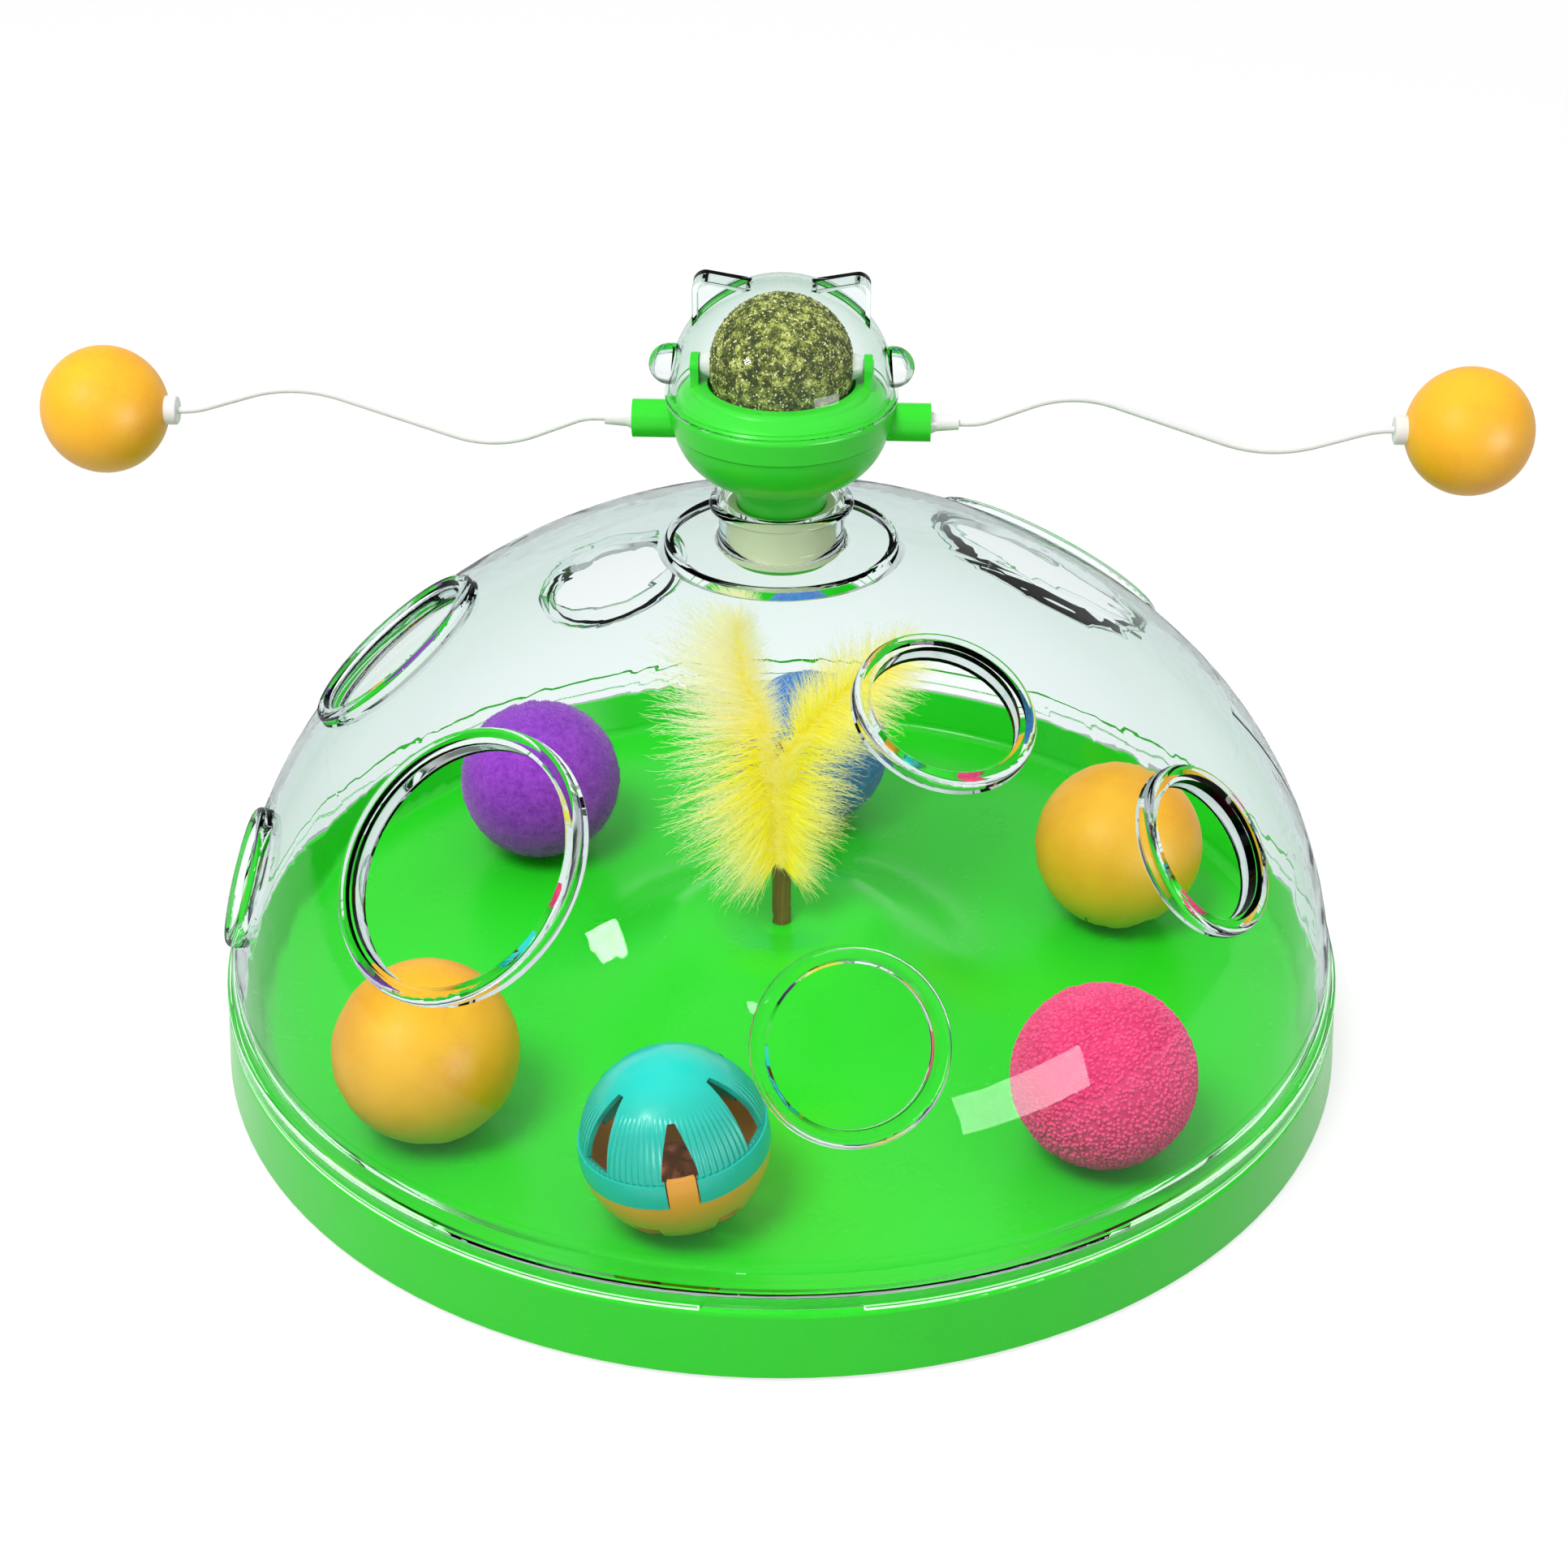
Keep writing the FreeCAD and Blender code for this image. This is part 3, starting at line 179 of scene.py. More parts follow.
class Growth:
    # One geometry tree: node() adds any node, run() applies it to a piece
    def __init__(self, name, sizes):
        self.tree = bpy.data.node_groups.new(name, "GeometryNodeTree")
        face = self.tree.interface
        face.new_socket(name="Geometry", in_out="INPUT", socket_type="NodeSocketGeometry")
        for key, value in sizes.items():
            kind = "NodeSocketInt" if isinstance(value, int) else "NodeSocketFloat"
            face.new_socket(name=key, in_out="INPUT", socket_type=kind)
        face.new_socket(name="Geometry", in_out="OUTPUT", socket_type="NodeSocketGeometry")
        self.sizes = sizes
        self.start = self.tree.nodes.new("NodeGroupInput")
        self.end = self.tree.nodes.new("NodeGroupOutput")

    def size(self, name):
        return self.start.outputs[name]

    def node(self, kind, settings=None, inputs=None, output=0):
        made = self.tree.nodes.new(kind)
        for key, value in (settings or {}).items():
            setattr(made, key, value)
        for key, value in (inputs or {}).items():
            if isinstance(value, bpy.types.NodeSocket):
                self.tree.links.new(value, made.inputs[key])
            else:
                made.inputs[key].default_value = value
        return made.outputs[output]

    def maths(self, operation, first, second):
        return self.node("ShaderNodeMath", {"operation": operation}, {0: first, 1: second})

    def chance(self, low, high, seed, kind="FLOAT"):
        # Inlets 0, 2 and 4 are the low ends of a vector, a number and a whole number, outlets 0, 1 and 2 their results
        outlet = ("FLOAT_VECTOR", "FLOAT", "INT").index(kind)
        inputs = {2 * outlet: low, 2 * outlet + 1: high, 8: seed}
        return self.node("FunctionNodeRandomValue", {"data_type": kind}, inputs, outlet)

    def read(self, name, kind="FLOAT"):
        return self.node("GeometryNodeInputNamedAttribute", {"data_type": kind}, {"Name": name})

    def store(self, shape, name, value, domain="POINT"):
        settings = {"data_type": "FLOAT", "domain": domain}
        return self.node("GeometryNodeStoreNamedAttribute", settings, {0: shape, "Name": name, 3: value})

    def join(self, shapes):
        made = self.tree.nodes.new("GeometryNodeJoinGeometry")
        for shape in reversed(shapes):
            self.tree.links.new(shape, made.inputs[0])
        return made.outputs[0]

    def strew(self, perArea):
        # Points over the piece's faces, and how each stands on its face
        made = self.tree.nodes.new("GeometryNodeDistributePointsOnFaces")
        for key, name in (("Mesh", "Geometry"), ("Density", perArea), ("Seed", "Seed")):
            self.tree.links.new(self.size(name), made.inputs[key])
        return made.outputs["Points"], made.outputs["Rotation"]

    def lean(self, rotation, aboutX, aboutY, seed):
        # The rotation leant by chance within two ranges and turned any way about its own axis
        low, high = (aboutX[0], aboutY[0], 0), (aboutX[1], aboutY[1], anyWay)
        leant = self.node("FunctionNodeEulerToRotation", {}, {0: self.chance(low, high, seed, "FLOAT_VECTOR")})
        return self.node("FunctionNodeRotateRotation", {"rotation_space": "LOCAL"}, {0: rotation, 1: leant})

    def copies(self, points, shape, rotation, size, pick=None):
        # The shape on every point, or one of several shapes where pick says which
        scale = self.node("ShaderNodeCombineXYZ", {}, dict(enumerate(size)))
        inputs = {"Points": points, "Instance": shape, "Rotation": rotation, "Scale": scale}
        if pick is not None:
            inputs.update({"Pick Instance": True, "Instance Index": pick})
        return self.node("GeometryNodeInstanceOnPoints", {}, inputs)

    def finishWith(self, shape, material):
        whole = self.node("GeometryNodeRealizeInstances", {}, {0: shape})
        smooth = self.node("GeometryNodeSetShadeSmooth", {}, {0: whole})
        painted = self.node("GeometryNodeSetMaterial", {}, {0: smooth, "Material": material})
        self.tree.links.new(painted, self.end.inputs[0])

    def run(self, thing, name, body, material):
        modifier = thing.modifiers.new("growth", "NODES")
        modifier.node_group = self.tree
        for item in self.tree.interface.items_tree:
            if item.in_out == "INPUT" and item.name in self.sizes:
                modifier[item.identifier] = self.sizes[item.name]
        graph = bpy.context.evaluated_depsgraph_get()
        mesh = bpy.data.meshes.new_from_object(thing.evaluated_get(graph), depsgraph=graph)
        bpy.data.objects.remove(thing)
        mesh.name = name
        mesh.materials.clear()
        mesh.materials.append(material)
        made = addObject(name, mesh)
        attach(made, body)
        print(name, len(mesh.polygons), "faces")
        return made


def pointCloud(name, points, values):
    # Loose points that carry a number or a vector each under every name in values
    mesh = bpy.data.meshes.new(name)
    mesh.from_pydata([tuple(point) for point in points], [], [])
    for key, numbers in values.items():
        vector = isinstance(numbers[0], Vector)
        layer = mesh.attributes.new(key, "FLOAT_VECTOR" if vector else "FLOAT", "POINT")
        for item, number in zip(layer.data, numbers):
            setattr(item, "vector" if vector else "value", number)
    return addObject(name, mesh)


# Moulded plastics

def mouldedPlastic(name, colour, rough=0.3, mottle=0.06, grain=0.00001):
    f = Finish(name)
    cloud = f.noise(28, 4)
    dark = tuple(c * (1 - mottle) for c in colour)
    light = tuple(min(1, c * (1 + mottle)) for c in colour)
    worn = f.noise(75, 5, 0.6)
    return f.shade(Base_Color=f.mix(cloud, dark, light), Roughness=worn * 0.12 + (rough - 0.06),
                   Normal=f.bump(f.noise(2400, 2), grain, 0.6), Specular_IOR_Level=0.4)


greenTray = mouldedPlastic("greenTray", (0.018, 0.62, 0.014), 0.26)
greenTurret = mouldedPlastic("greenTurret", (0.026, 0.64, 0.02), 0.3)
whiteAxle = mouldedPlastic("whiteAxle", (0.72, 0.72, 0.69), 0.35, 0.03)
creamSleeve = mouldedPlastic("creamSleeve", (0.62, 0.67, 0.43), 0.4, 0.04)
coatedWire = mouldedPlastic("coatedWire", (0.75, 0.75, 0.73), 0.32, 0.03)
padRubber = mouldedPlastic("padRubber", (0.055, 0.055, 0.055), 0.75, 0.15, 0.00004)
screwSteel = Finish("screwSteel")
screwSteel = screwSteel.shade(Base_Color=(0.52, 0.52, 0.53), Metallic=1.0,
                              Roughness=screwSteel.noise(900, 3) * 0.2 + 0.2)


def foamBall(name, colour, dark):
    # Smooth foam rubber: soft clouds, fine pores and a satin skin
    f = Finish(name)
    cloud = f.noise(55, 5, 0.62)
    pores = f.noise(1500, 3, 0.7)
    light = tuple(min(1, c * 1.06) for c in colour)
    tone = f.ramp(cloud * 0.75 + pores * 0.25, [(0.3, dark), (0.55, colour), (0.8, light)])
    return f.shade(Base_Color=tone, Roughness=pores * 0.16 + 0.38, Normal=f.bump(pores, 0.00006, 0.8),
                   Subsurface_Weight=0.1, Subsurface_Scale=0.002, Subsurface_Radius=(1.0, 0.4, 0.1))


orangeFoam = foamBall("orangeFoam", (0.87, 0.45, 0.01), (0.78, 0.33, 0.006))
swatFoam = foamBall("swatFoam", (0.95, 0.47, 0.01), (0.88, 0.35, 0.008))


# Bell ball: heights on it are degrees above its equator, windows and tabs are spaced evenly round its pole

bellBall = {
    "centre": (-22.1 * mm, -88.4 * mm, 29.3 * mm),
    "across": (0.9834, 0.1305, 0.126), "along": (-0.1295, 0.9914, -0.0166), "pole": (-0.127, 0, 0.992),
    "radius": 20 * mm, "wall": 1.7 * mm, "recess": 0.45 * mm, "seam": -7.5, "bandTop": 8.5,
    "tabs": 3, "firstTab": -90, "tabWide": 6.0 * mm, "tabGap": 0.3 * mm, "tabTop": 11.5,
    "shortWindow": {"aim": 28, "foot": 12.5, "tip": 45, "footWide": 7.6 * mm, "tipWide": 1.5 * mm,
                    "first": -90, "count": 3},
    "longWindow": {"aim": 36, "foot": 12.5, "tip": 58, "footWide": 7.6 * mm, "tipWide": 1.5 * mm,
                   "first": -30, "count": 3},
    "lowWindow": {"aim": -46, "foot": -30, "tip": -62, "footWide": 5.6 * mm, "tipWide": 1.4 * mm,
                  "first": -60, "count": 6},
    "windowBulge": 1.35, "cutFrom": 0.5, "cutTo": 1.15, "notchFoot": -0.3, "sharp": 32, "turnSteps": 120, "tabSteps": 6,
    "ribs": 84, "ribHeight": 0.0004, "ribFrom": 3.0 * mm, "ribTo": 15.0 * mm,
    # paintedLitTealCap: the same teal painted lighter on the cap, standing for light that falls on the top of the ball
    "teal": (0.006, 0.53, 0.42), "paintedLitTealCap": (0.008, 0.62, 0.54), "orange": (0.93, 0.37, 0.025),
}


def cagePlastic(name, colour, cap, ribbed):
    # Glossy moulded plastic, its strips ribbed from the equator up to a smooth cap; on the teal half the cap is painted
    # a lighter teal, as painted light where light falls on the ball's top
    f = Finish(name)
    x, y, z = f.offCentre(bellBall["centre"], (bellBall["across"], bellBall["along"], bellBall["pole"]))
    cloud = f.noise(60, 3)
    height = f.noise(2400, 2) * 0.05
    paintedLitCap = 0.0
    if ribbed:
        wave = (y.maths("ARCTAN2", x) * bellBall["ribs"]).maths("SINE") * 0.5 + 0.5
        band = ((z - bellBall["ribFrom"]) * 2500).limit() * ((bellBall["ribTo"] - z) * 300).limit()
        height = height + wave * band
        paintedLitCap = ((z - bellBall["ribTo"]) * 200).limit()
    tone = f.mix(cloud, tuple(c * 0.9 for c in colour), colour)
    # Painted light: above the ribs the cap takes the lighter, lit teal
    tone = f.mix(paintedLitCap, tone, cap)
    return f.shade(Base_Color=tone, Roughness=f.noise(90, 4) * 0.1 + 0.2,
                   Normal=f.bump(height, bellBall["ribHeight"], 0.8))


cageTeal = cagePlastic("cageTeal", bellBall["teal"], bellBall["paintedLitTealCap"], True)
cageOrange = cagePlastic("cageOrange", bellBall["orange"], bellBall["orange"], False)


arcStep = 3


def arcPoints(radius, low, high):
    # Points on a circle between two angles above the equator, as (across, up)
    steps = max(2, int(abs(high - low) / arcStep))
    angles = [math.radians(low + (high - low) * n / steps) for n in range(steps + 1)]
    return [(radius * math.cos(a), radius * math.sin(a)) for a in angles]


def turnOutline(bm, outline, start, end, steps):
    # A closed outline turned about the pole from one angle to another, or all the way round
    whole = end - start >= 360
    rings = []
    for step in range(steps if whole else steps + 1):
        a = math.radians(start + (end - start) * step / steps)
        rings.append([bm.verts.new((r * math.cos(a), r * math.sin(a), z)) for r, z in outline])
    pairs = list(zip(rings, rings[1:])) + ([(rings[-1], rings[0])] if whole else [])
    for first, second in pairs:
        for n in range(len(outline)):
            after = (n + 1) % len(outline)
            bm.faces.new((first[n], second[n], second[after], first[after]))
    if not whole:
        bm.faces.new(rings[0])
        bm.faces.new(rings[-1])


def addPrism(bm, corners, azimuth, aim, near, far):
    # A straight cutter: corners as (aside, up) about a direction out of the centre
    turn, rise = math.radians(azimuth), math.radians(aim)
    out = Vector((math.cos(turn) * math.cos(rise), math.sin(turn) * math.cos(rise), math.sin(rise)))
    aside = Vector((-math.sin(turn), math.cos(turn), 0))
    up = out.cross(aside)
    ends = [[bm.verts.new(out * reach + aside * u + up * v) for u, v in corners] for reach in (near, far)]
    bm.faces.new(ends[0])
    bm.faces.new(ends[1])
    for n in range(len(corners)):
        after = (n + 1) % len(corners)
        bm.faces.new((ends[0][n], ends[0][after], ends[1][after], ends[1][n]))


def windowCorners(look):
    # A leaf that narrows from its foot to its tip
    size = bellBall["radius"]
    foot, tip = (size * math.sin(math.radians(look[end] - look["aim"])) for end in ("foot", "tip"))
    side = []
    for n in range(9):
        share = n / 8
        wide = look["tipWide"] + (look["footWide"] - look["tipWide"]) * (1 - share ** bellBall["windowBulge"])
        side.append((wide / 2, foot + (tip - foot) * share))
    return side + [(-u, v) for u, v in reversed(side)]


def meshFrom(bm, name):
    # Corners nearer than this are one
    bmesh.ops.remove_doubles(bm, verts=bm.verts, dist=0.001 * mm)
    bmesh.ops.recalc_face_normals(bm, faces=bm.faces)
    mesh = bpy.data.meshes.new(name)
    bm.to_mesh(mesh)
    bm.free()
    return addObject(name, mesh)


def makeCageHalf(node, name, upper, finish):
    look = bellBall
    outer, inner = look["radius"], look["radius"] - look["wall"]
    near, far = outer * look["cutFrom"], outer * look["cutTo"]
    tabPlaces = [look["firstTab"] + n * 360 / look["tabs"] for n in range(look["tabs"])]
    bm = bmesh.new()
    if upper:
        outline = arcPoints(outer, look["seam"], look["bandTop"])
        outline += arcPoints(outer - look["recess"], look["bandTop"], 90)
        outline += arcPoints(inner, 90, look["seam"])
    else:
        outline = arcPoints(outer, -90, look["seam"]) + arcPoints(inner, look["seam"], -90)
        half = math.degrees(math.asin(look["tabWide"] / 2 / outer))
        tab = arcPoints(outer, look["seam"], look["tabTop"]) + arcPoints(inner, look["tabTop"], look["seam"])
        for middle in tabPlaces:
            turnOutline(bm, tab, middle - half, middle + half, look["tabSteps"])
    turnOutline(bm, outline, 0, 360, look["turnSteps"])
    shell = meshFrom(bm, name + "Shell")

    bm = bmesh.new()
    for kind in (("shortWindow", "longWindow") if upper else ("lowWindow",)):
        window = look[kind]
        for n in range(window["count"]):
            azimuth = window["first"] + n * 360 / window["count"]
            addPrism(bm, windowCorners(window), azimuth, window["aim"], near, far)
    cutters = [meshFrom(bm, name + "Cutter")]
    if upper:
        # Notches that the lower half's tabs stand in
        bm = bmesh.new()
        side, low = look["tabWide"] / 2 + look["tabGap"], outer * look["notchFoot"]
        high = outer * math.sin(math.radians(look["tabTop"])) + look["tabGap"]
        for middle in tabPlaces:
            addPrism(bm, [(side, low), (side, high), (-side, high), (-side, low)], middle, 0, near, far)
        cutters.append(meshFrom(bm, name + "Notches"))
    for tool in cutters:
        modifier = shell.modifiers.new("cut", "BOOLEAN")
        modifier.operation, modifier.solver, modifier.object = "DIFFERENCE", "EXACT", tool
    graph = bpy.context.evaluated_depsgraph_get()
    mesh = bpy.data.meshes.new_from_object(shell.evaluated_get(graph), depsgraph=graph)
    for thing in [shell] + cutters:
        bpy.data.objects.remove(thing)
    columns = Matrix((look["across"], look["along"], look["pole"])).transposed().to_4x4()
    mesh.transform(Matrix.Translation(look["centre"]) @ columns)
    mesh.shade_smooth()
    mesh.set_sharp_from_angle(angle=math.radians(look["sharp"]))
    mesh.materials.clear()
    mesh.materials.append(finish)
    made = addObject(name, mesh)
    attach(made, "bell_track_ball")
    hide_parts(node)
    print(name, len(mesh.polygons), "faces")


makeCageHalf("bell_cage_upper", "bell_cage_top", True, cageTeal)
makeCageHalf("bell_cage_lower", "bell_cage_bottom", False, cageOrange)

copper = Finish("copperBell")
copperTone = copper.ramp(copper.noise(400, 5, 0.6), [(0.3, (0.62, 0.12, 0.035)), (0.7, (0.82, 0.22, 0.07))])
copper = copper.shade(Base_Color=copperTone, Metallic=0.4, Roughness=copper.noise(700, 4) * 0.25 + 0.18)


# Clear plastic: grey-blue where the wall is seen edge on; lamps and soft light pass straight in

clear = {
    "ior": 1.42, "middle": (0.968, 0.989, 0.988), "edgePower": 2.0, "haze": 0.006, "lampTint": (0.985, 0.995, 0.995),
    "mirror": 0.32, "trappedFrom": 0.24, "trappedRise": 14,
    # paintedGlowFoot and footGlow: the skirt's foot is painted with a pale glow of its own, as painted light at the
    # wall's edge
    "paintedGlowFoot": (0.66, 0.92, 0.64), "footTop": 17.05 * mm, "footFade": 6000, "footGlow": 0.25,
}


def clearPlastic(name, edge, pale=False):
    f = Finish(name)
    haze = f.noise(60, 4) * clear["haze"]
    slant = f.node("LayerWeight", {}, {"Blend": 0.5}, "Facing")
    turned = slant ** clear["edgePower"]
    # Part refraction alone, which keeps the face clear, part glass, which mirrors too: in full where a slanted ray
    # is inside the wall
    inside = f.node("NewGeometry", output="Backfacing")
    trapped = inside * ((slant - clear["trappedFrom"]) * clear["trappedRise"]).limit()
    walls = []
    for kind in ("BsdfRefraction", "BsdfGlass"):
        tinted = []
        for tint in (clear["middle"], edge):
            tinted.append(f.node(kind, {}, {"Color": (*tint, 1), "Roughness": haze, "IOR": clear["ior"]}))
        walls.append(f.node("MixShader", {}, {0: turned, 1: tinted[0], 2: tinted[1]}))
    mirrored = trapped * (1 - clear["mirror"]) + clear["mirror"]
    wall = f.node("MixShader", {}, {0: mirrored, 1: walls[0], 2: walls[1]})
    if pale:
        # Painted glow: the foot of the skirt glows by emission of its own, standing in for light that runs down the
        # wall and comes out there
        z = f.node("SeparateXYZ", {}, {0: f.place()}, "Z")
        tint = (*clear["paintedGlowFoot"], 1)
        foot = f.node("BsdfPrincipled", {}, {
            "Base Color": tint, "Roughness": f.noise(300, 2) * 0.1 + 0.4,
            "Emission Color": tint, "Emission Strength": clear["footGlow"]})
        wall = f.node("MixShader", {}, {0: ((clear["footTop"] - z) * clear["footFade"]).limit(), 1: wall, 2: foot})
    straight = f.node("BsdfTransparent", {}, {"Color": (*clear["lampTint"], 1)})
    return f.show(f.node("MixShader", {}, {0: f.rayIs("Shadow", "Diffuse"), 1: wall, 2: straight}))


domePlastic = clearPlastic("domePlastic", (0.72, 0.785, 0.775), True)
coverPlastic = clearPlastic("coverPlastic", (0.66, 0.8, 0.7))


# Sleeve in the neck, a hair slimmer than its bore so that its skin shows clean through the clear neck
# Its outline as (radius, height) in mm

sleeve = {
    "outline": [(9.3, 120.45), (13.2, 120.45), (13.2, 121.85), (11.8, 121.85),
                (11.8, 131.6), (11.4, 132.0), (9.7, 132.0), (9.3, 131.6)],
    "turnSteps": 96, "sharp": 32,
}


def makeSleeve():
    bm = bmesh.new()
    turnOutline(bm, [(r * mm, z * mm) for r, z in sleeve["outline"]], 0, 360, sleeve["turnSteps"])
    made = meshFrom(bm, "neck_sleeve")
    made.data.shade_smooth()
    made.data.set_sharp_from_angle(angle=math.radians(sleeve["sharp"]))
    made.data.materials.append(creamSleeve)
    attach(made, "dome")
    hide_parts("neck_bushing")


makeSleeve()


# Catnip ball: pressed leaf crumbs

catnip = {
    "centre": (0, 0, 163.4 * mm), "radius": 15.1 * mm, "sunk": 0.05 * mm, "seatLevel": 4, "perArea": 2.7e6,
    "flakeLong": 1.0 * mm, "longSpread": (0.45, 1.2), "flakeWide": 0.45 * mm, "wideSpread": (0.5, 1.2),
    "flakeThick": (0.15 * mm, 0.4 * mm), "tilt": 0.8, "tone": (0.2, 0.85), "seed": 5,
}


def pressedHerb(name, loose):
    f = Finish(name)
    crumbs = f.cells(700)
    fibres = f.noise(900, 4, 0.7)
    mixed = f.attribute("tone") if loose else f.noise(420, 4, 0.75)
    tone = f.ramp(mixed, [
        (0.2, (0.008, 0.011, 0.002)), (0.45, (0.04, 0.055, 0.008)), (0.53, (0.2, 0.23, 0.035)),
        (0.62, (0.55, 0.56, 0.13)), (0.75, (0.95, 0.92, 0.48))])
    return f.shade(Base_Color=f.mix(fibres * 0.15, tone, (0.1, 0.12, 0.02)), Roughness=0.8,
                   Normal=f.bump(crumbs + fibres, 0.0004, 0.9))


herbCore = pressedHerb("herbCore", False)
herbFlake = pressedHerb("herbFlake", True)


trackBall = 20 * mm


def ballShell(name, centre, radius, level, lumps=0.0, grain=0.0):
    # A closed ball at its place in the part; lumps: how far noise moves its skin, grain: how fine it is on a track ball
    bm = bmesh.new()
    bmesh.ops.create_icosphere(bm, subdivisions=level, radius=1.0)
    for vertex in bm.verts:
        way = vertex.co.normalized()
        rise = lumps * noise.fractal(way * grain * radius / trackBall, 1.0, 2.0, 3) if lumps else 0
        vertex.co = Vector(centre) + way * (radius + rise)
    mesh = bpy.data.meshes.new(name)
    bm.to_mesh(mesh)
    bm.free()
    return addObject(name, mesh)


def makeCatnipFlakes():
    g = Growth("leafCrumbs", {"Flakes per area": catnip["perArea"], "Long": catnip["flakeLong"],
                              "Wide": catnip["flakeWide"], "Seed": catnip["seed"]})
    points, upright = g.strew("Flakes per area")
    flake = g.node("GeometryNodeMeshIcoSphere", {}, {"Radius": 0.5, "Subdivisions": 1})
    turn = g.lean(upright, (-catnip["tilt"], catnip["tilt"]), (-catnip["tilt"], catnip["tilt"]), 3)
    long = g.maths("MULTIPLY", g.size("Long"), g.chance(*catnip["longSpread"], 7))
    wide = g.maths("MULTIPLY", g.size("Wide"), g.chance(*catnip["wideSpread"], 8))
    placed = g.copies(points, flake, turn, (long, wide, g.chance(*catnip["flakeThick"], 9)))
    toned = g.store(placed, "tone", g.chance(*catnip["tone"], 11), "INSTANCE")
    g.finishWith(toned, herbFlake)
    seat = ballShell("crumbSeat", catnip["centre"], catnip["radius"] - catnip["sunk"], catnip["seatLevel"])
    g.run(seat, "catnip_crumbs", "catnip", herbFlake)


makeCatnipFlakes()


# Plush balls: a felted skin with a short pile, or looped towelling

plush = {
    "purple_ball": {
        "colour": (0.38, 0.07, 0.66), "deep": (0.2, 0.025, 0.42), "pile": 0.5 * mm, "perArea": 3.4e6, "loops": False},
    "blue_ball": {
        "colour": (0.06, 0.3, 0.74), "deep": (0.03, 0.16, 0.48), "pile": 0.5 * mm, "perArea": 3.4e6, "loops": False},
    "pink_ball": {
        "colour": (0.9, 0.075, 0.23), "deep": (0.66, 0.03, 0.13), "pile": 0.6 * mm, "perArea": 9.5e5, "loops": True},
}
plushSeat = {"sunk": 0.85, "level": 5, "lumps": 0.25 * mm, "grain": 14, "seed": 4}


def plushCloth(name, colour, deep):
    f = Finish(name)
    nap = f.noise(620, 4, 0.7)
    cloud = f.noise(90, 3)
    # Painted shade: the skin the tufts stand on is darker than the tufts, standing for the shade down in the pile
    height = f.attribute("height")
    light = tuple(min(1, c * 1.35 + 0.02) for c in colour)
    tone = f.ramp(nap * 0.55 + cloud * 0.2 + height * 0.25, [(0.3, deep), (0.55, colour), (0.78, light)])
    return f.shade(Base_Color=tone, Roughness=0.92, Sheen_Weight=0.35, Sheen_Roughness=0.4,
                   Normal=f.bump(nap, 0.0004, 0.8), Specular_IOR_Level=0.2)


def makePlushBall(node, body, look):
    cloth = plushCloth(node + "Cloth", look["colour"], look["deep"])
    g = Growth(node + "Pile", {"Per area": look["perArea"], "Pile": look["pile"], "Seed": plushSeat["seed"]})
    points, upright = g.strew("Per area")
    if look["loops"]:
        tuft = g.node("GeometryNodeMeshIcoSphere", {}, {"Radius": 0.8, "Subdivisions": 1})
        lean, low, high = 0.5, 0.7, 1.15
    else:
        tuft = g.node("GeometryNodeMeshCone", {}, {"Vertices": 3, "Radius Bottom": 0.13, "Depth": 1.0})
        lean, low, high = 0.9, 0.5, 1.2
    tuft = g.store(tuft, "height", 0.9)
    turn = g.lean(upright, (-lean, lean), (-lean, lean), 3)
    long = g.maths("MULTIPLY", g.size("Pile"), g.chance(low, high, 7))
    wide = g.maths("MULTIPLY", long, g.chance(0.8, 1.2, 9)) if look["loops"] else g.size("Pile")
    placed = g.copies(points, tuft, turn, (wide, g.size("Pile"), long))
    # Painted shade: the skin under the pile is marked low, which paints it darker as the shade between the tufts
    seat = g.store(g.size("Geometry"), "height", 0.1)
    g.finishWith(g.join([seat, placed]), cloth)
    foot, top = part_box(node)
    radius = (top[2] - foot[2]) / 2
    shell = ballShell(node + "Seat", (Vector(foot) + Vector(top)) / 2, radius - look["pile"] * plushSeat["sunk"],
                      plushSeat["level"], plushSeat["lumps"], plushSeat["grain"])
    made = g.run(shell, node.replace("_ball", "_plush"), body, cloth)
    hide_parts(node)


makePlushBall("purple_ball", "purple_track_ball", plush["purple_ball"])
makePlushBall("blue_ball", "blue_track_ball", plush["blue_ball"])
makePlushBall("pink_ball", "pink_track_ball", plush["pink_ball"])


# Plumes: three layers of barbs along a quill, each barb with its own fine barbules
# Rows of outer and inner barbs: share of the quill, degrees above level, longest barb in mm
# Rows of pale: share of the quill, how near a barb's root is to the tip's colour

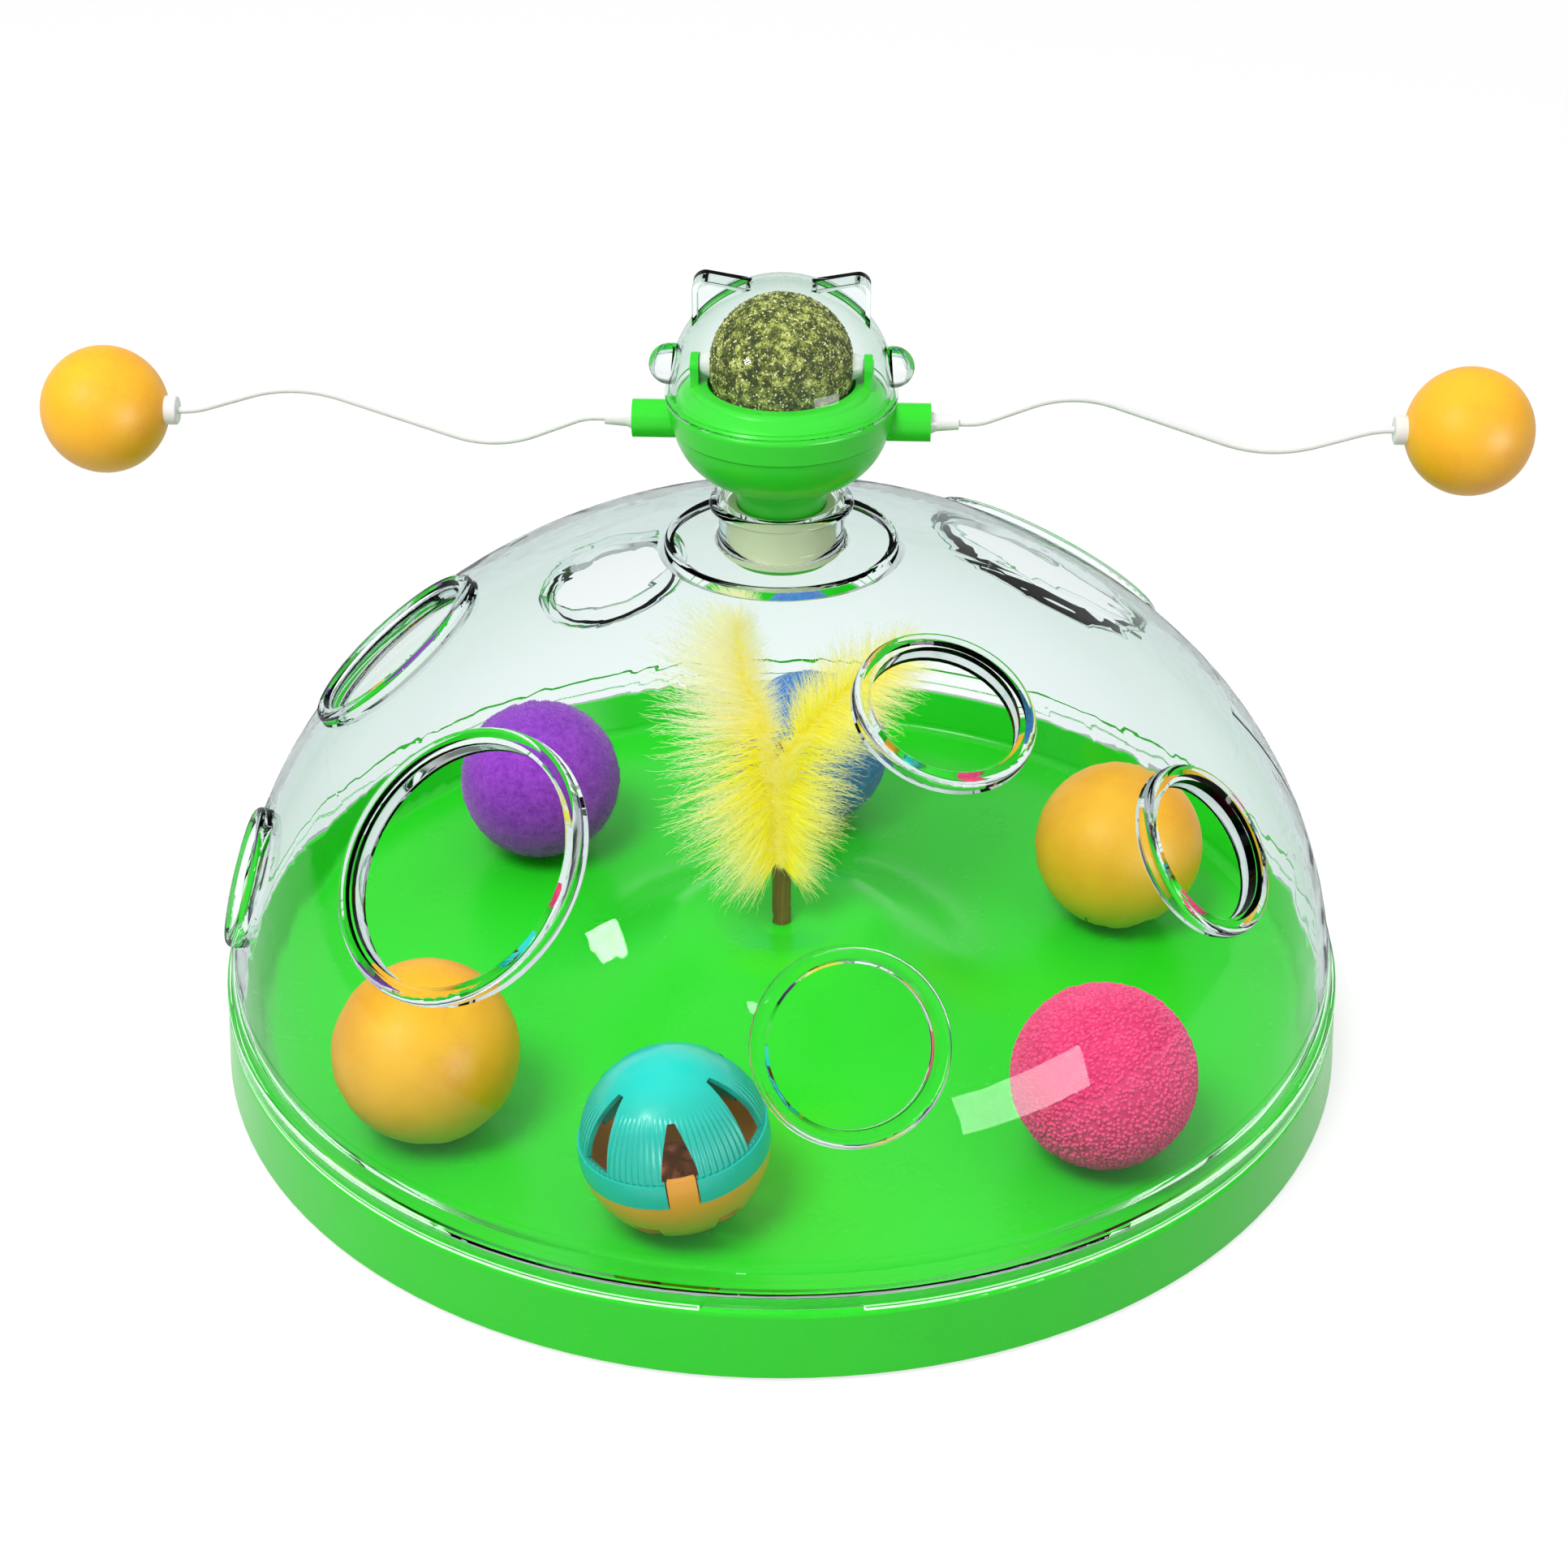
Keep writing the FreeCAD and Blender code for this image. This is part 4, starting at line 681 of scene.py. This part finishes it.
plumes = {
    "left_plume": {
        "quill": [(-1.6, -2.6, 43), (-2.4, -2.4, 61), (-3.2, -1.4, 73), (-5.4, 0, 81), (-8.4, 0, 90), (-9.8, 0, 99),
                  (-10.1, 0, 102)],
        "outer": [(0, -60, 14), (0.1, -45, 21), (0.29, -27, 27), (0.48, -8, 26.5), (0.62, 12, 25), (0.77, 28, 24),
                  (0.93, 48, 16), (1, 80, 8)],
        "inner": [(0, -50, 5), (0.3, -10, 6), (0.5, 25, 6), (0.65, 32, 7.5), (0.85, 48, 9), (1, 75, 8)],
        "pale": [(0, 0.1), (0.45, 0.15), (0.7, 0.6), (1, 0.8)],
        "side": -1, "core": (0.98, 0.885, 0.003), "tip": (0.96, 0.93, 0.62), "seed": 3},
    "right_plume": {
        "quill": [(0.8, -2.8, 41), (0.6, -2.9, 57), (0.5, -2.9, 66), (2.0, -2.5, 72), (6.0, -1.2, 77.5),
                  (12.0, 0, 83.5), (18.5, 0, 89), (25.0, 0, 93.5)],
        "outer": [(0, -45, 11), (0.15, -25, 15), (0.35, -8, 18), (0.55, -12, 18.5), (0.75, -22, 17), (0.92, -12, 14),
                  (1, 12, 11)],
        "inner": [(0, 150, 4), (0.3, 125, 7), (0.45, 115, 10), (0.6, 108, 13), (0.8, 95, 13.5), (1, 55, 11)],
        "pale": [(0, 0.1), (0.6, 0.1), (0.75, 0.3), (1, 0.65)],
        "side": 1, "core": (1.0, 0.92, 0.005), "tip": (0.97, 0.93, 0.46), "seed": 8},
}
# Layers: how many barbs, their share of the full reach, the shares of them on the inner side, over the front and
# round the back, and how far they fan out
plumeRows = {
    "barbs": {"count": 2200, "reach": 1.0, "inner": 0.32, "front": 0.08, "behind": 0.12, "spread": 0.8},
    "down": {"count": 2200, "reach": 0.65, "inner": 0.42, "front": 0.2, "behind": 0.25, "spread": 1.0},
    "heart": {"count": 2200, "reach": 0.42, "inner": 0.42, "front": 0.4, "behind": 0.45, "spread": 1.0},
}
# Barbs: ranges that numbers are drawn from are pairs; roots and longest barbs in mm
barb = {
    "top": 107.2 * mm, "topShare": (0.85, 1), "degrees": (-15, 15), "deep": (-1, 0.8), "fan": 0.85, "narrow": 0.8,
    "sweep": 0.3, "length": (0.62, 1.06), "shorter": 0.3, "tone": (-0.15, 0.15),
    "rootAcross": (-0.6, 0.6), "rootDeep": (-1.3, 0.6),
    "crotch": (63 * mm, 75 * mm), "crotchShare": 5,
    "frontAlong": 0.6, "frontAside": (-0.7, 0.7), "frontOut": -0.8, "frontLong": 9, "frontReach": 0.8,
    "backTop": 72 * mm, "backAside": (-1.8, 1.8), "backDeep": 3.6 * mm, "backRise": (0, 3), "backAim": (0.05, 0.5),
    "model": 20 * mm, "middle": 0.55, "curl": 0.6, "width": 0.11 * mm, "taper": 0.85,
    "barbule": 4.0 * mm, "barbules": 12, "hair": 0.042 * mm, "hairLean": (0.12, 0.48), "hairTwist": (-0.1, 0.1),
    "hairLong": (0.6, 1.3), "hairShorter": 0.55,
    "bends": ((0.02, 0.03), (-0.03, 0.05), (0.04, -0.02), (-0.01, -0.05), (0.05, 0.01)),
}
quillShape = {"steps": 24, "sides": 8, "foot": 0.4, "thinner": 0.3}


def featherDown(name, core, tip):
    # Painted glow: the down glows by emission in its own colour, which brightens it in any light in place of light
    # scattering through its thin fibres; each barb is also a little darker towards its root
    f = Finish(name)
    along = f.attribute("along")
    tone = f.attribute("tone")
    mixed = f.ramp(along * 0.75 + tone, [(0.05, tuple(c * 0.86 for c in core)), (0.35, core), (1.0, tip)])
    return f.shade(Base_Color=mixed, Roughness=0.8, Specular_IOR_Level=0.12, Sheen_Weight=0.05,
                   Emission_Color=mixed, Emission_Strength=0.22, Normal=f.bump(f.noise(4000, 2), 0.00002, 0.4),
                   Subsurface_Weight=0.4, Subsurface_Scale=0.002, Subsurface_Radius=(1.0, 0.9, 0.4))


quillHorn = Finish("quillHorn")
hornTone = quillHorn.ramp(quillHorn.noise(500, 3), [(0.3, (0.9, 0.72, 0.04)), (0.7, (0.98, 0.84, 0.08))])
quillHorn = quillHorn.shade(Base_Color=hornTone, Roughness=0.45)


def alongLine(points, share):
    # A point and the direction on a smooth line through the points, by its length
    steps = [(second - first).length for first, second in zip(points, points[1:])]
    left = share * sum(steps)
    start = 0
    while start < len(steps) - 1 and left > steps[start]:
        left -= steps[start]
        start += 1
    part = min(left / steps[start], 1.0)
    a, b = points[max(start - 1, 0)], points[start]
    c, d = points[start + 1], points[min(start + 2, len(points) - 1)]
    place = 0.5 * ((2 * b) + (c - a) * part + (2 * a - 5 * b + 4 * c - d) * part**2 + (3 * b - a - 3 * c + d) * part**3)
    way = 0.5 * ((c - a) + 2 * (2 * a - 5 * b + 4 * c - d) * part + 3 * (3 * b - a - 3 * c + d) * part**2)
    return place, way.normalized()


def readRow(row, share):
    # The numbers of a row at this share of the quill, between its two nearest entries
    for (low, *before), (high, *after) in zip(row, row[1:]):
        if share <= high:
            part = (share - low) / (high - low)
            return [first + (second - first) * part for first, second in zip(before, after)]
    return row[-1][1:]


def barbRoots(node, look, rows):
    # Where each barb starts, its way, its reach and its tone; every layer draws numbers of its own
    chooser = random.Random(look["seed"] + rows["count"] + round(100 * rows["reach"]))
    quill = [Vector(point) * mm for point in look["quill"]]
    places, aims, reaches, tones = [], [], [], []
    for number in range(rows["count"]):
        share = (number + chooser.random()) / rows["count"]
        place, way = alongLine(quill, share)
        inner = chooser.random() < rows["inner"]
        angle, length = readRow(look["inner" if inner else "outer"], share)
        angle = math.radians(angle + chooser.uniform(*barb["degrees"]))
        deep = chooser.uniform(*barb["deep"]) * rows["spread"]
        across = look["side"] * (-1 if inner and look["side"] < 0 else 1) * math.cos(angle)
        aim = Vector((across * math.sqrt(1 - barb["narrow"] * deep**2), deep * barb["fan"], math.sin(angle)))
        atCrotch = barb["crotch"][0] < place.z < barb["crotch"][1]
        if chooser.random() < rows["front"] * (barb["crotchShare"] if atCrotch else 1):
            # A short barb that lies forward over the quill
            aim = way * barb["frontAlong"] + Vector((chooser.uniform(*barb["frontAside"]), barb["frontOut"], 0))
            length = min(length, barb["frontLong"]) * barb["frontReach"]
        elif place.z < barb["backTop"] and chooser.random() < rows["behind"]:
            # One that comes round the back of the stick
            aside = chooser.uniform(*barb["backAside"]) * mm
            place = Vector((aside, barb["backDeep"], place.z + chooser.uniform(*barb["backRise"]) * mm))
            aim.y = chooser.uniform(*barb["backAim"])
        aim = (aim.normalized() + way * barb["sweep"] * deep**2).normalized()
        reach = length * mm * chooser.uniform(*barb["length"]) * (1 - barb["shorter"] * abs(deep))
        reach *= 1 if inner else rows["reach"]
        if aim.z > 0:
            # The turret's washer stays out of reach when the wand is pulled up
            reach = min(reach, (barb["top"] - place.z) / aim.z * chooser.uniform(*barb["topShare"]))
        aims.append(aim)
        reaches.append(reach)
        tones.append(readRow(look["pale"], share)[0] * rows["reach"] + chooser.uniform(*barb["tone"]))
        aside, deep = chooser.uniform(*barb["rootAcross"]), chooser.uniform(*barb["rootDeep"])
        places.append(place + Vector((aside, deep, 0)) * mm)
    return pointCloud(node + "Roots", places, {"aim": aims, "reach": reaches, "tone": tones})


def barbShape(g, bend):
    # One barb up the Z axis: a tapered shaft on a slight bend, with hairs along it that get shorter
    tall = barb["model"]
    line = g.node("GeometryNodeCurveQuadraticBezier", {}, {
        "Resolution": 5, "Start": (0, 0, 0), "Middle": (bend[0] * tall, bend[1] * tall, barb["middle"] * tall),
        "End": (-bend[1] * barb["curl"] * tall, bend[0] * barb["curl"] * tall, tall)})
    share = g.node("GeometryNodeSplineParameter")
    line = g.store(line, "along", share)
    ring = g.node("GeometryNodeCurvePrimitiveCircle", {"mode": "RADIUS"}, {"Resolution": 3, "Radius": 1.0})
    thick = g.maths("SUBTRACT", 1.0, g.maths("MULTIPLY", share, barb["taper"]))
    shaft = g.node("GeometryNodeCurveToMesh", {}, {
        "Curve": line, "Profile Curve": ring, "Scale": g.maths("MULTIPLY", thick, g.size("Barb width")),
        "Fill Caps": True})
    spots = g.tree.nodes.new("GeometryNodeCurveToPoints")
    g.tree.links.new(line, spots.inputs["Curve"])
    g.tree.links.new(g.size("Barbules"), spots.inputs["Count"])
    hair = g.node("GeometryNodeMeshCone", {}, {"Vertices": 3, "Radius Bottom": barb["hair"], "Depth": 1.0})
    turned = g.lean(spots.outputs["Rotation"], barb["hairLean"], barb["hairTwist"], 5)
    shorter = g.maths("SUBTRACT", 1.0, g.maths("MULTIPLY", g.read("along"), barb["hairShorter"]))
    longest = g.maths("MULTIPLY", g.size("Barbule"), g.chance(*barb["hairLong"], 9))
    hairs = g.copies(spots.outputs["Points"], hair, turned, (1.0, 1.0, g.maths("MULTIPLY", longest, shorter)))
    whole = g.node("GeometryNodeRealizeInstances", {}, {0: g.join([shaft, hairs])})
    return g.node("GeometryNodeGeometryToInstance", {}, {0: whole})


def growBarbs(node, look, kind, down):
    roots = barbRoots(node, look, plumeRows[kind])
    g = Growth(node + kind, {"Barb width": barb["width"], "Barbule": barb["barbule"], "Barbules": barb["barbules"]})
    shapes = [barbShape(g, bend) for bend in barb["bends"]]
    points = g.node("GeometryNodeMeshToPoints", {}, {0: g.size("Geometry")})
    turn = g.node("FunctionNodeEulerToRotation", {}, {0: g.chance((0, 0, 0), (0, 0, anyWay), 2, "FLOAT_VECTOR")})
    aimed = g.node("FunctionNodeAlignRotationToVector", {"axis": "Z"}, {0: turn, 2: g.read("aim", "FLOAT_VECTOR")})
    tall = g.maths("DIVIDE", g.read("reach"), barb["model"])
    wide = g.maths("POWER", tall, 0.5)
    pick = g.chance(0, len(shapes) - 1, 6, "INT")
    g.finishWith(g.copies(points, g.join(shapes), aimed, (wide, wide, tall), pick), down)
    made = g.run(roots, node + "_" + kind, "wand", down)
    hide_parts(node)


def makeQuill(node, points):
    # A thin tapered horn
    sides = quillShape["sides"]
    bm = bmesh.new()
    rings = []
    for step in range(quillShape["steps"] + 1):
        place, way = alongLine(points, step / quillShape["steps"])
        across = way.cross(Vector((0, 1, 0))).normalized()
        deep = way.cross(across).normalized()
        radius = (quillShape["foot"] - quillShape["thinner"] * step / quillShape["steps"]) * mm
        angles = [n * 2 * math.pi / sides for n in range(sides)]
        rings.append([bm.verts.new(place + (across * math.cos(a) + deep * math.sin(a)) * radius) for a in angles])
    for first, second in zip(rings, rings[1:]):
        for n in range(sides):
            after = (n + 1) % sides
            bm.faces.new((first[n], first[after], second[after], second[n]))
    bm.faces.new(rings[0])
    bm.faces.new(rings[-1])
    bmesh.ops.recalc_face_normals(bm, faces=bm.faces)
    mesh = bpy.data.meshes.new(node + "_quill")
    bm.to_mesh(mesh)
    bm.free()
    mesh.shade_smooth()
    mesh.materials.append(quillHorn)
    horn = addObject(node + "_quill", mesh)
    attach(horn, "wand")


def makePlume(node, look):
    down = featherDown(node + "Down", look["core"], look["tip"])
    for kind in plumeRows:
        growBarbs(node, look, kind, down)
    makeQuill(node, [Vector(point) * mm for point in look["quill"]])


makePlume("left_plume", plumes["left_plume"])
makePlume("right_plume", plumes["right_plume"])


# Wand stick, its grain drawn out along it

stick = Finish("stickBrown")
grain = stick.node("Mapping", {}, {"Vector": stick.place(), "Scale": (1, 1, 0.06)})
stickTone = stick.ramp(stick.noise(1500, 4, 0.6, grain), [(0.3, (0.11, 0.05, 0.012)), (0.7, (0.27, 0.14, 0.03))])
stickBrown = stick.shade(Base_Color=stickTone, Roughness=0.42,
                         Normal=stick.bump(stick.noise(1500, 3, 0.5, grain), 0.00005, 0.6))
print("pieces made")


# Finishes of the nodes that stay

finishes = {
    "base_tray": greenTray, "anti_slip_pads": padRubber, "dome_cover": domePlastic, "cat_cover": coverPlastic,
    "turret_cup": greenTurret, "retaining_washer": greenTurret, "retaining_screw": screwSteel,
    "catnip_axle": whiteAxle, "catnip_ball": herbCore, "wand_stick": stickBrown,
    "left_strain_relief": coatedWire, "right_strain_relief": coatedWire, "left_wire": coatedWire,
    "right_wire": coatedWire, "left_ball_plug": coatedWire, "right_ball_plug": coatedWire,
    "left_swat_ball": swatFoam, "right_swat_ball": swatFoam,
    "orange_ball_right": orangeFoam, "orange_ball_left": orangeFoam, "bell_shell": copper, "bell_pellet": copper,
}
for node, finish in finishes.items():
    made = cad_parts[node]
    made.data.materials.clear()
    made.data.materials.append(finish)
print("finishes set")


# Floor, light and camera

studio = {
    "cameraPlace": (0, -0.5567, 0.3958), "lookAt": (0, 0, 0.0613), "lens": 65.566, "film": 36, "shift": 3 / 1932,
    "clip": (0.01, 20), "floorSize": 8, "floorHeight": -0.0002, "floorBounce": 0.35, "floorTone": 0.96,
    "floorGlow": 0.76, "softLow": 0.55, "softHigh": 1.0, "ceiling": 0.2, "ceilingInside": 0.6, "ceilingFrom": 0.15,
    "flags": 0.03, "flagsFrom": 0.74, "flagsLow": -0.03, "flagsHigh": 0.36, "aim": (0, -0.09, 0.07),
    "lamps": {
        "above": {
            "place": (-0.36, -0.6, 1.1), "size": (0.42, 0.42), "long": (1, 0, 0), "glow": 19, "mirrored": False},
        "leftWindow": {
            "place": (-0.659, -0.625, 0.951), "size": (0.13, 0.15), "long": (0.78, 0.1, 0.62), "glow": 70,
            "mirrored": True},
        "rightWindow": {
            "place": (0.897, -0.882, 0.221), "size": (0.58, 0.21), "long": (0.69, 0.72, -0.02), "glow": 26,
            "mirrored": True},
        "smallWindow": {
            "place": (-0.128, -1.0, 0.864), "size": (0.045, 0.06), "long": (1, 0, 0.13), "glow": 40,
            "mirrored": True},
    },
}
white, black = (1, 1, 1), (0, 0, 0)


def makeFloor():
    bpy.ops.mesh.primitive_plane_add(size=studio["floorSize"], location=(0, 0, studio["floorHeight"]))
    floor = bpy.context.object
    floor.name = "floor"
    f = Finish("paleFloor")
    seen = f.rayIs("Camera", "Glossy", "Transmission")
    tone = f.mix(seen, (studio["floorBounce"],) * 3, (studio["floorTone"],) * 3)
    paper = f.node("BsdfDiffuse", {}, {"Color": tone})
    glow = f.node("Emission", {}, {"Color": (*white, 1), "Strength": 1.0})
    floor.data.materials.append(f.show(f.node("MixShader", {}, {0: seen * studio["floorGlow"], 1: paper, 2: glow})))


def makeSky():
    # White all round for the camera and through glass; mirrored rays meet a dimmer ceiling and dark flags at the
    # sides, and diffuse ones a soft sky that is brighter overhead
    sky = Finish("studioSky", sky=True)
    bpy.context.scene.world = sky.material
    way = sky.node("TexCoord", output="Generated")
    x, y, z = [sky.node("SeparateXYZ", {}, {0: way}, axis) for axis in "XYZ"]
    aside = ((x.maths("ABSOLUTE") - studio["flagsFrom"]) * 9).limit()
    flags = aside * ((z - studio["flagsLow"]) * 30).limit() * ((studio["flagsHigh"] - z) * 12).limit()
    above = ((z - studio["ceilingFrom"]) * 5).limit()
    bounced = sky.rayIs("Transmission") * sky.node("LightPath", {}, {}, "Glossy Depth").limit()
    ceiling = bounced * (studio["ceilingInside"] - studio["ceiling"]) + studio["ceiling"]
    bright = (1.0 - flags * (1 - studio["flags"])) * (1.0 - above * (1.0 - ceiling))
    mirrored = (sky.rayIs("Glossy") + bounced).limit()
    overhead = z.limit() * (studio["softHigh"] - studio["softLow"]) + studio["softLow"]
    plain = sky.node("Background", {}, {"Color": (*white, 1), "Strength": 1.0})
    room = sky.node("Background", {}, {"Color": sky.ramp(bright, [(0, black), (1, white)]), "Strength": 1.0})
    soft = sky.node("Background", {}, {"Color": (*white, 1), "Strength": overhead})
    shown = sky.node("MixShader", {}, {0: mirrored, 1: plain, 2: room})
    sky.show(sky.node("MixShader", {}, {0: sky.rayIs("Camera", "Glossy", "Transmission"), 1: soft, 2: shown}))


def makeLamp(name, look):
    # A panel that faces the part; the mirrored ones only show as windows in what is glossy
    lamp = bpy.data.lights.new(name, "AREA")
    lamp.shape = "RECTANGLE"
    lamp.size, lamp.size_y = look["size"]
    lamp.energy = look["glow"] * math.pi * lamp.size * lamp.size_y
    made = addObject(name, lamp)
    made.location = look["place"]
    back = (Vector(look["place"]) - Vector(studio["aim"])).normalized()
    long = Vector(look["long"])
    long = (long - back * long.dot(back)).normalized()
    made.rotation_euler = Matrix((long, back.cross(long), back)).transposed().to_euler()
    made.visible_camera = False
    made.visible_transmission = False
    made.visible_glossy = look["mirrored"]
    made.visible_diffuse = not look["mirrored"]


def makeCamera():
    data = bpy.data.cameras.new("camera")
    data.lens, data.sensor_width, data.shift_x = studio["lens"], studio["film"], studio["shift"]
    data.clip_start, data.clip_end = studio["clip"]
    cam = addObject("camera", data)
    cam.location = studio["cameraPlace"]
    cam.rotation_euler = (Vector(studio["lookAt"]) - cam.location).to_track_quat("-Z", "Y").to_euler()
    bpy.context.scene.camera = cam
    bpy.context.scene.view_settings.view_transform = "Standard"


makeFloor()
makeSky()
for name, look in studio["lamps"].items():
    makeLamp(name, look)
makeCamera()
print("stage, light and camera set")
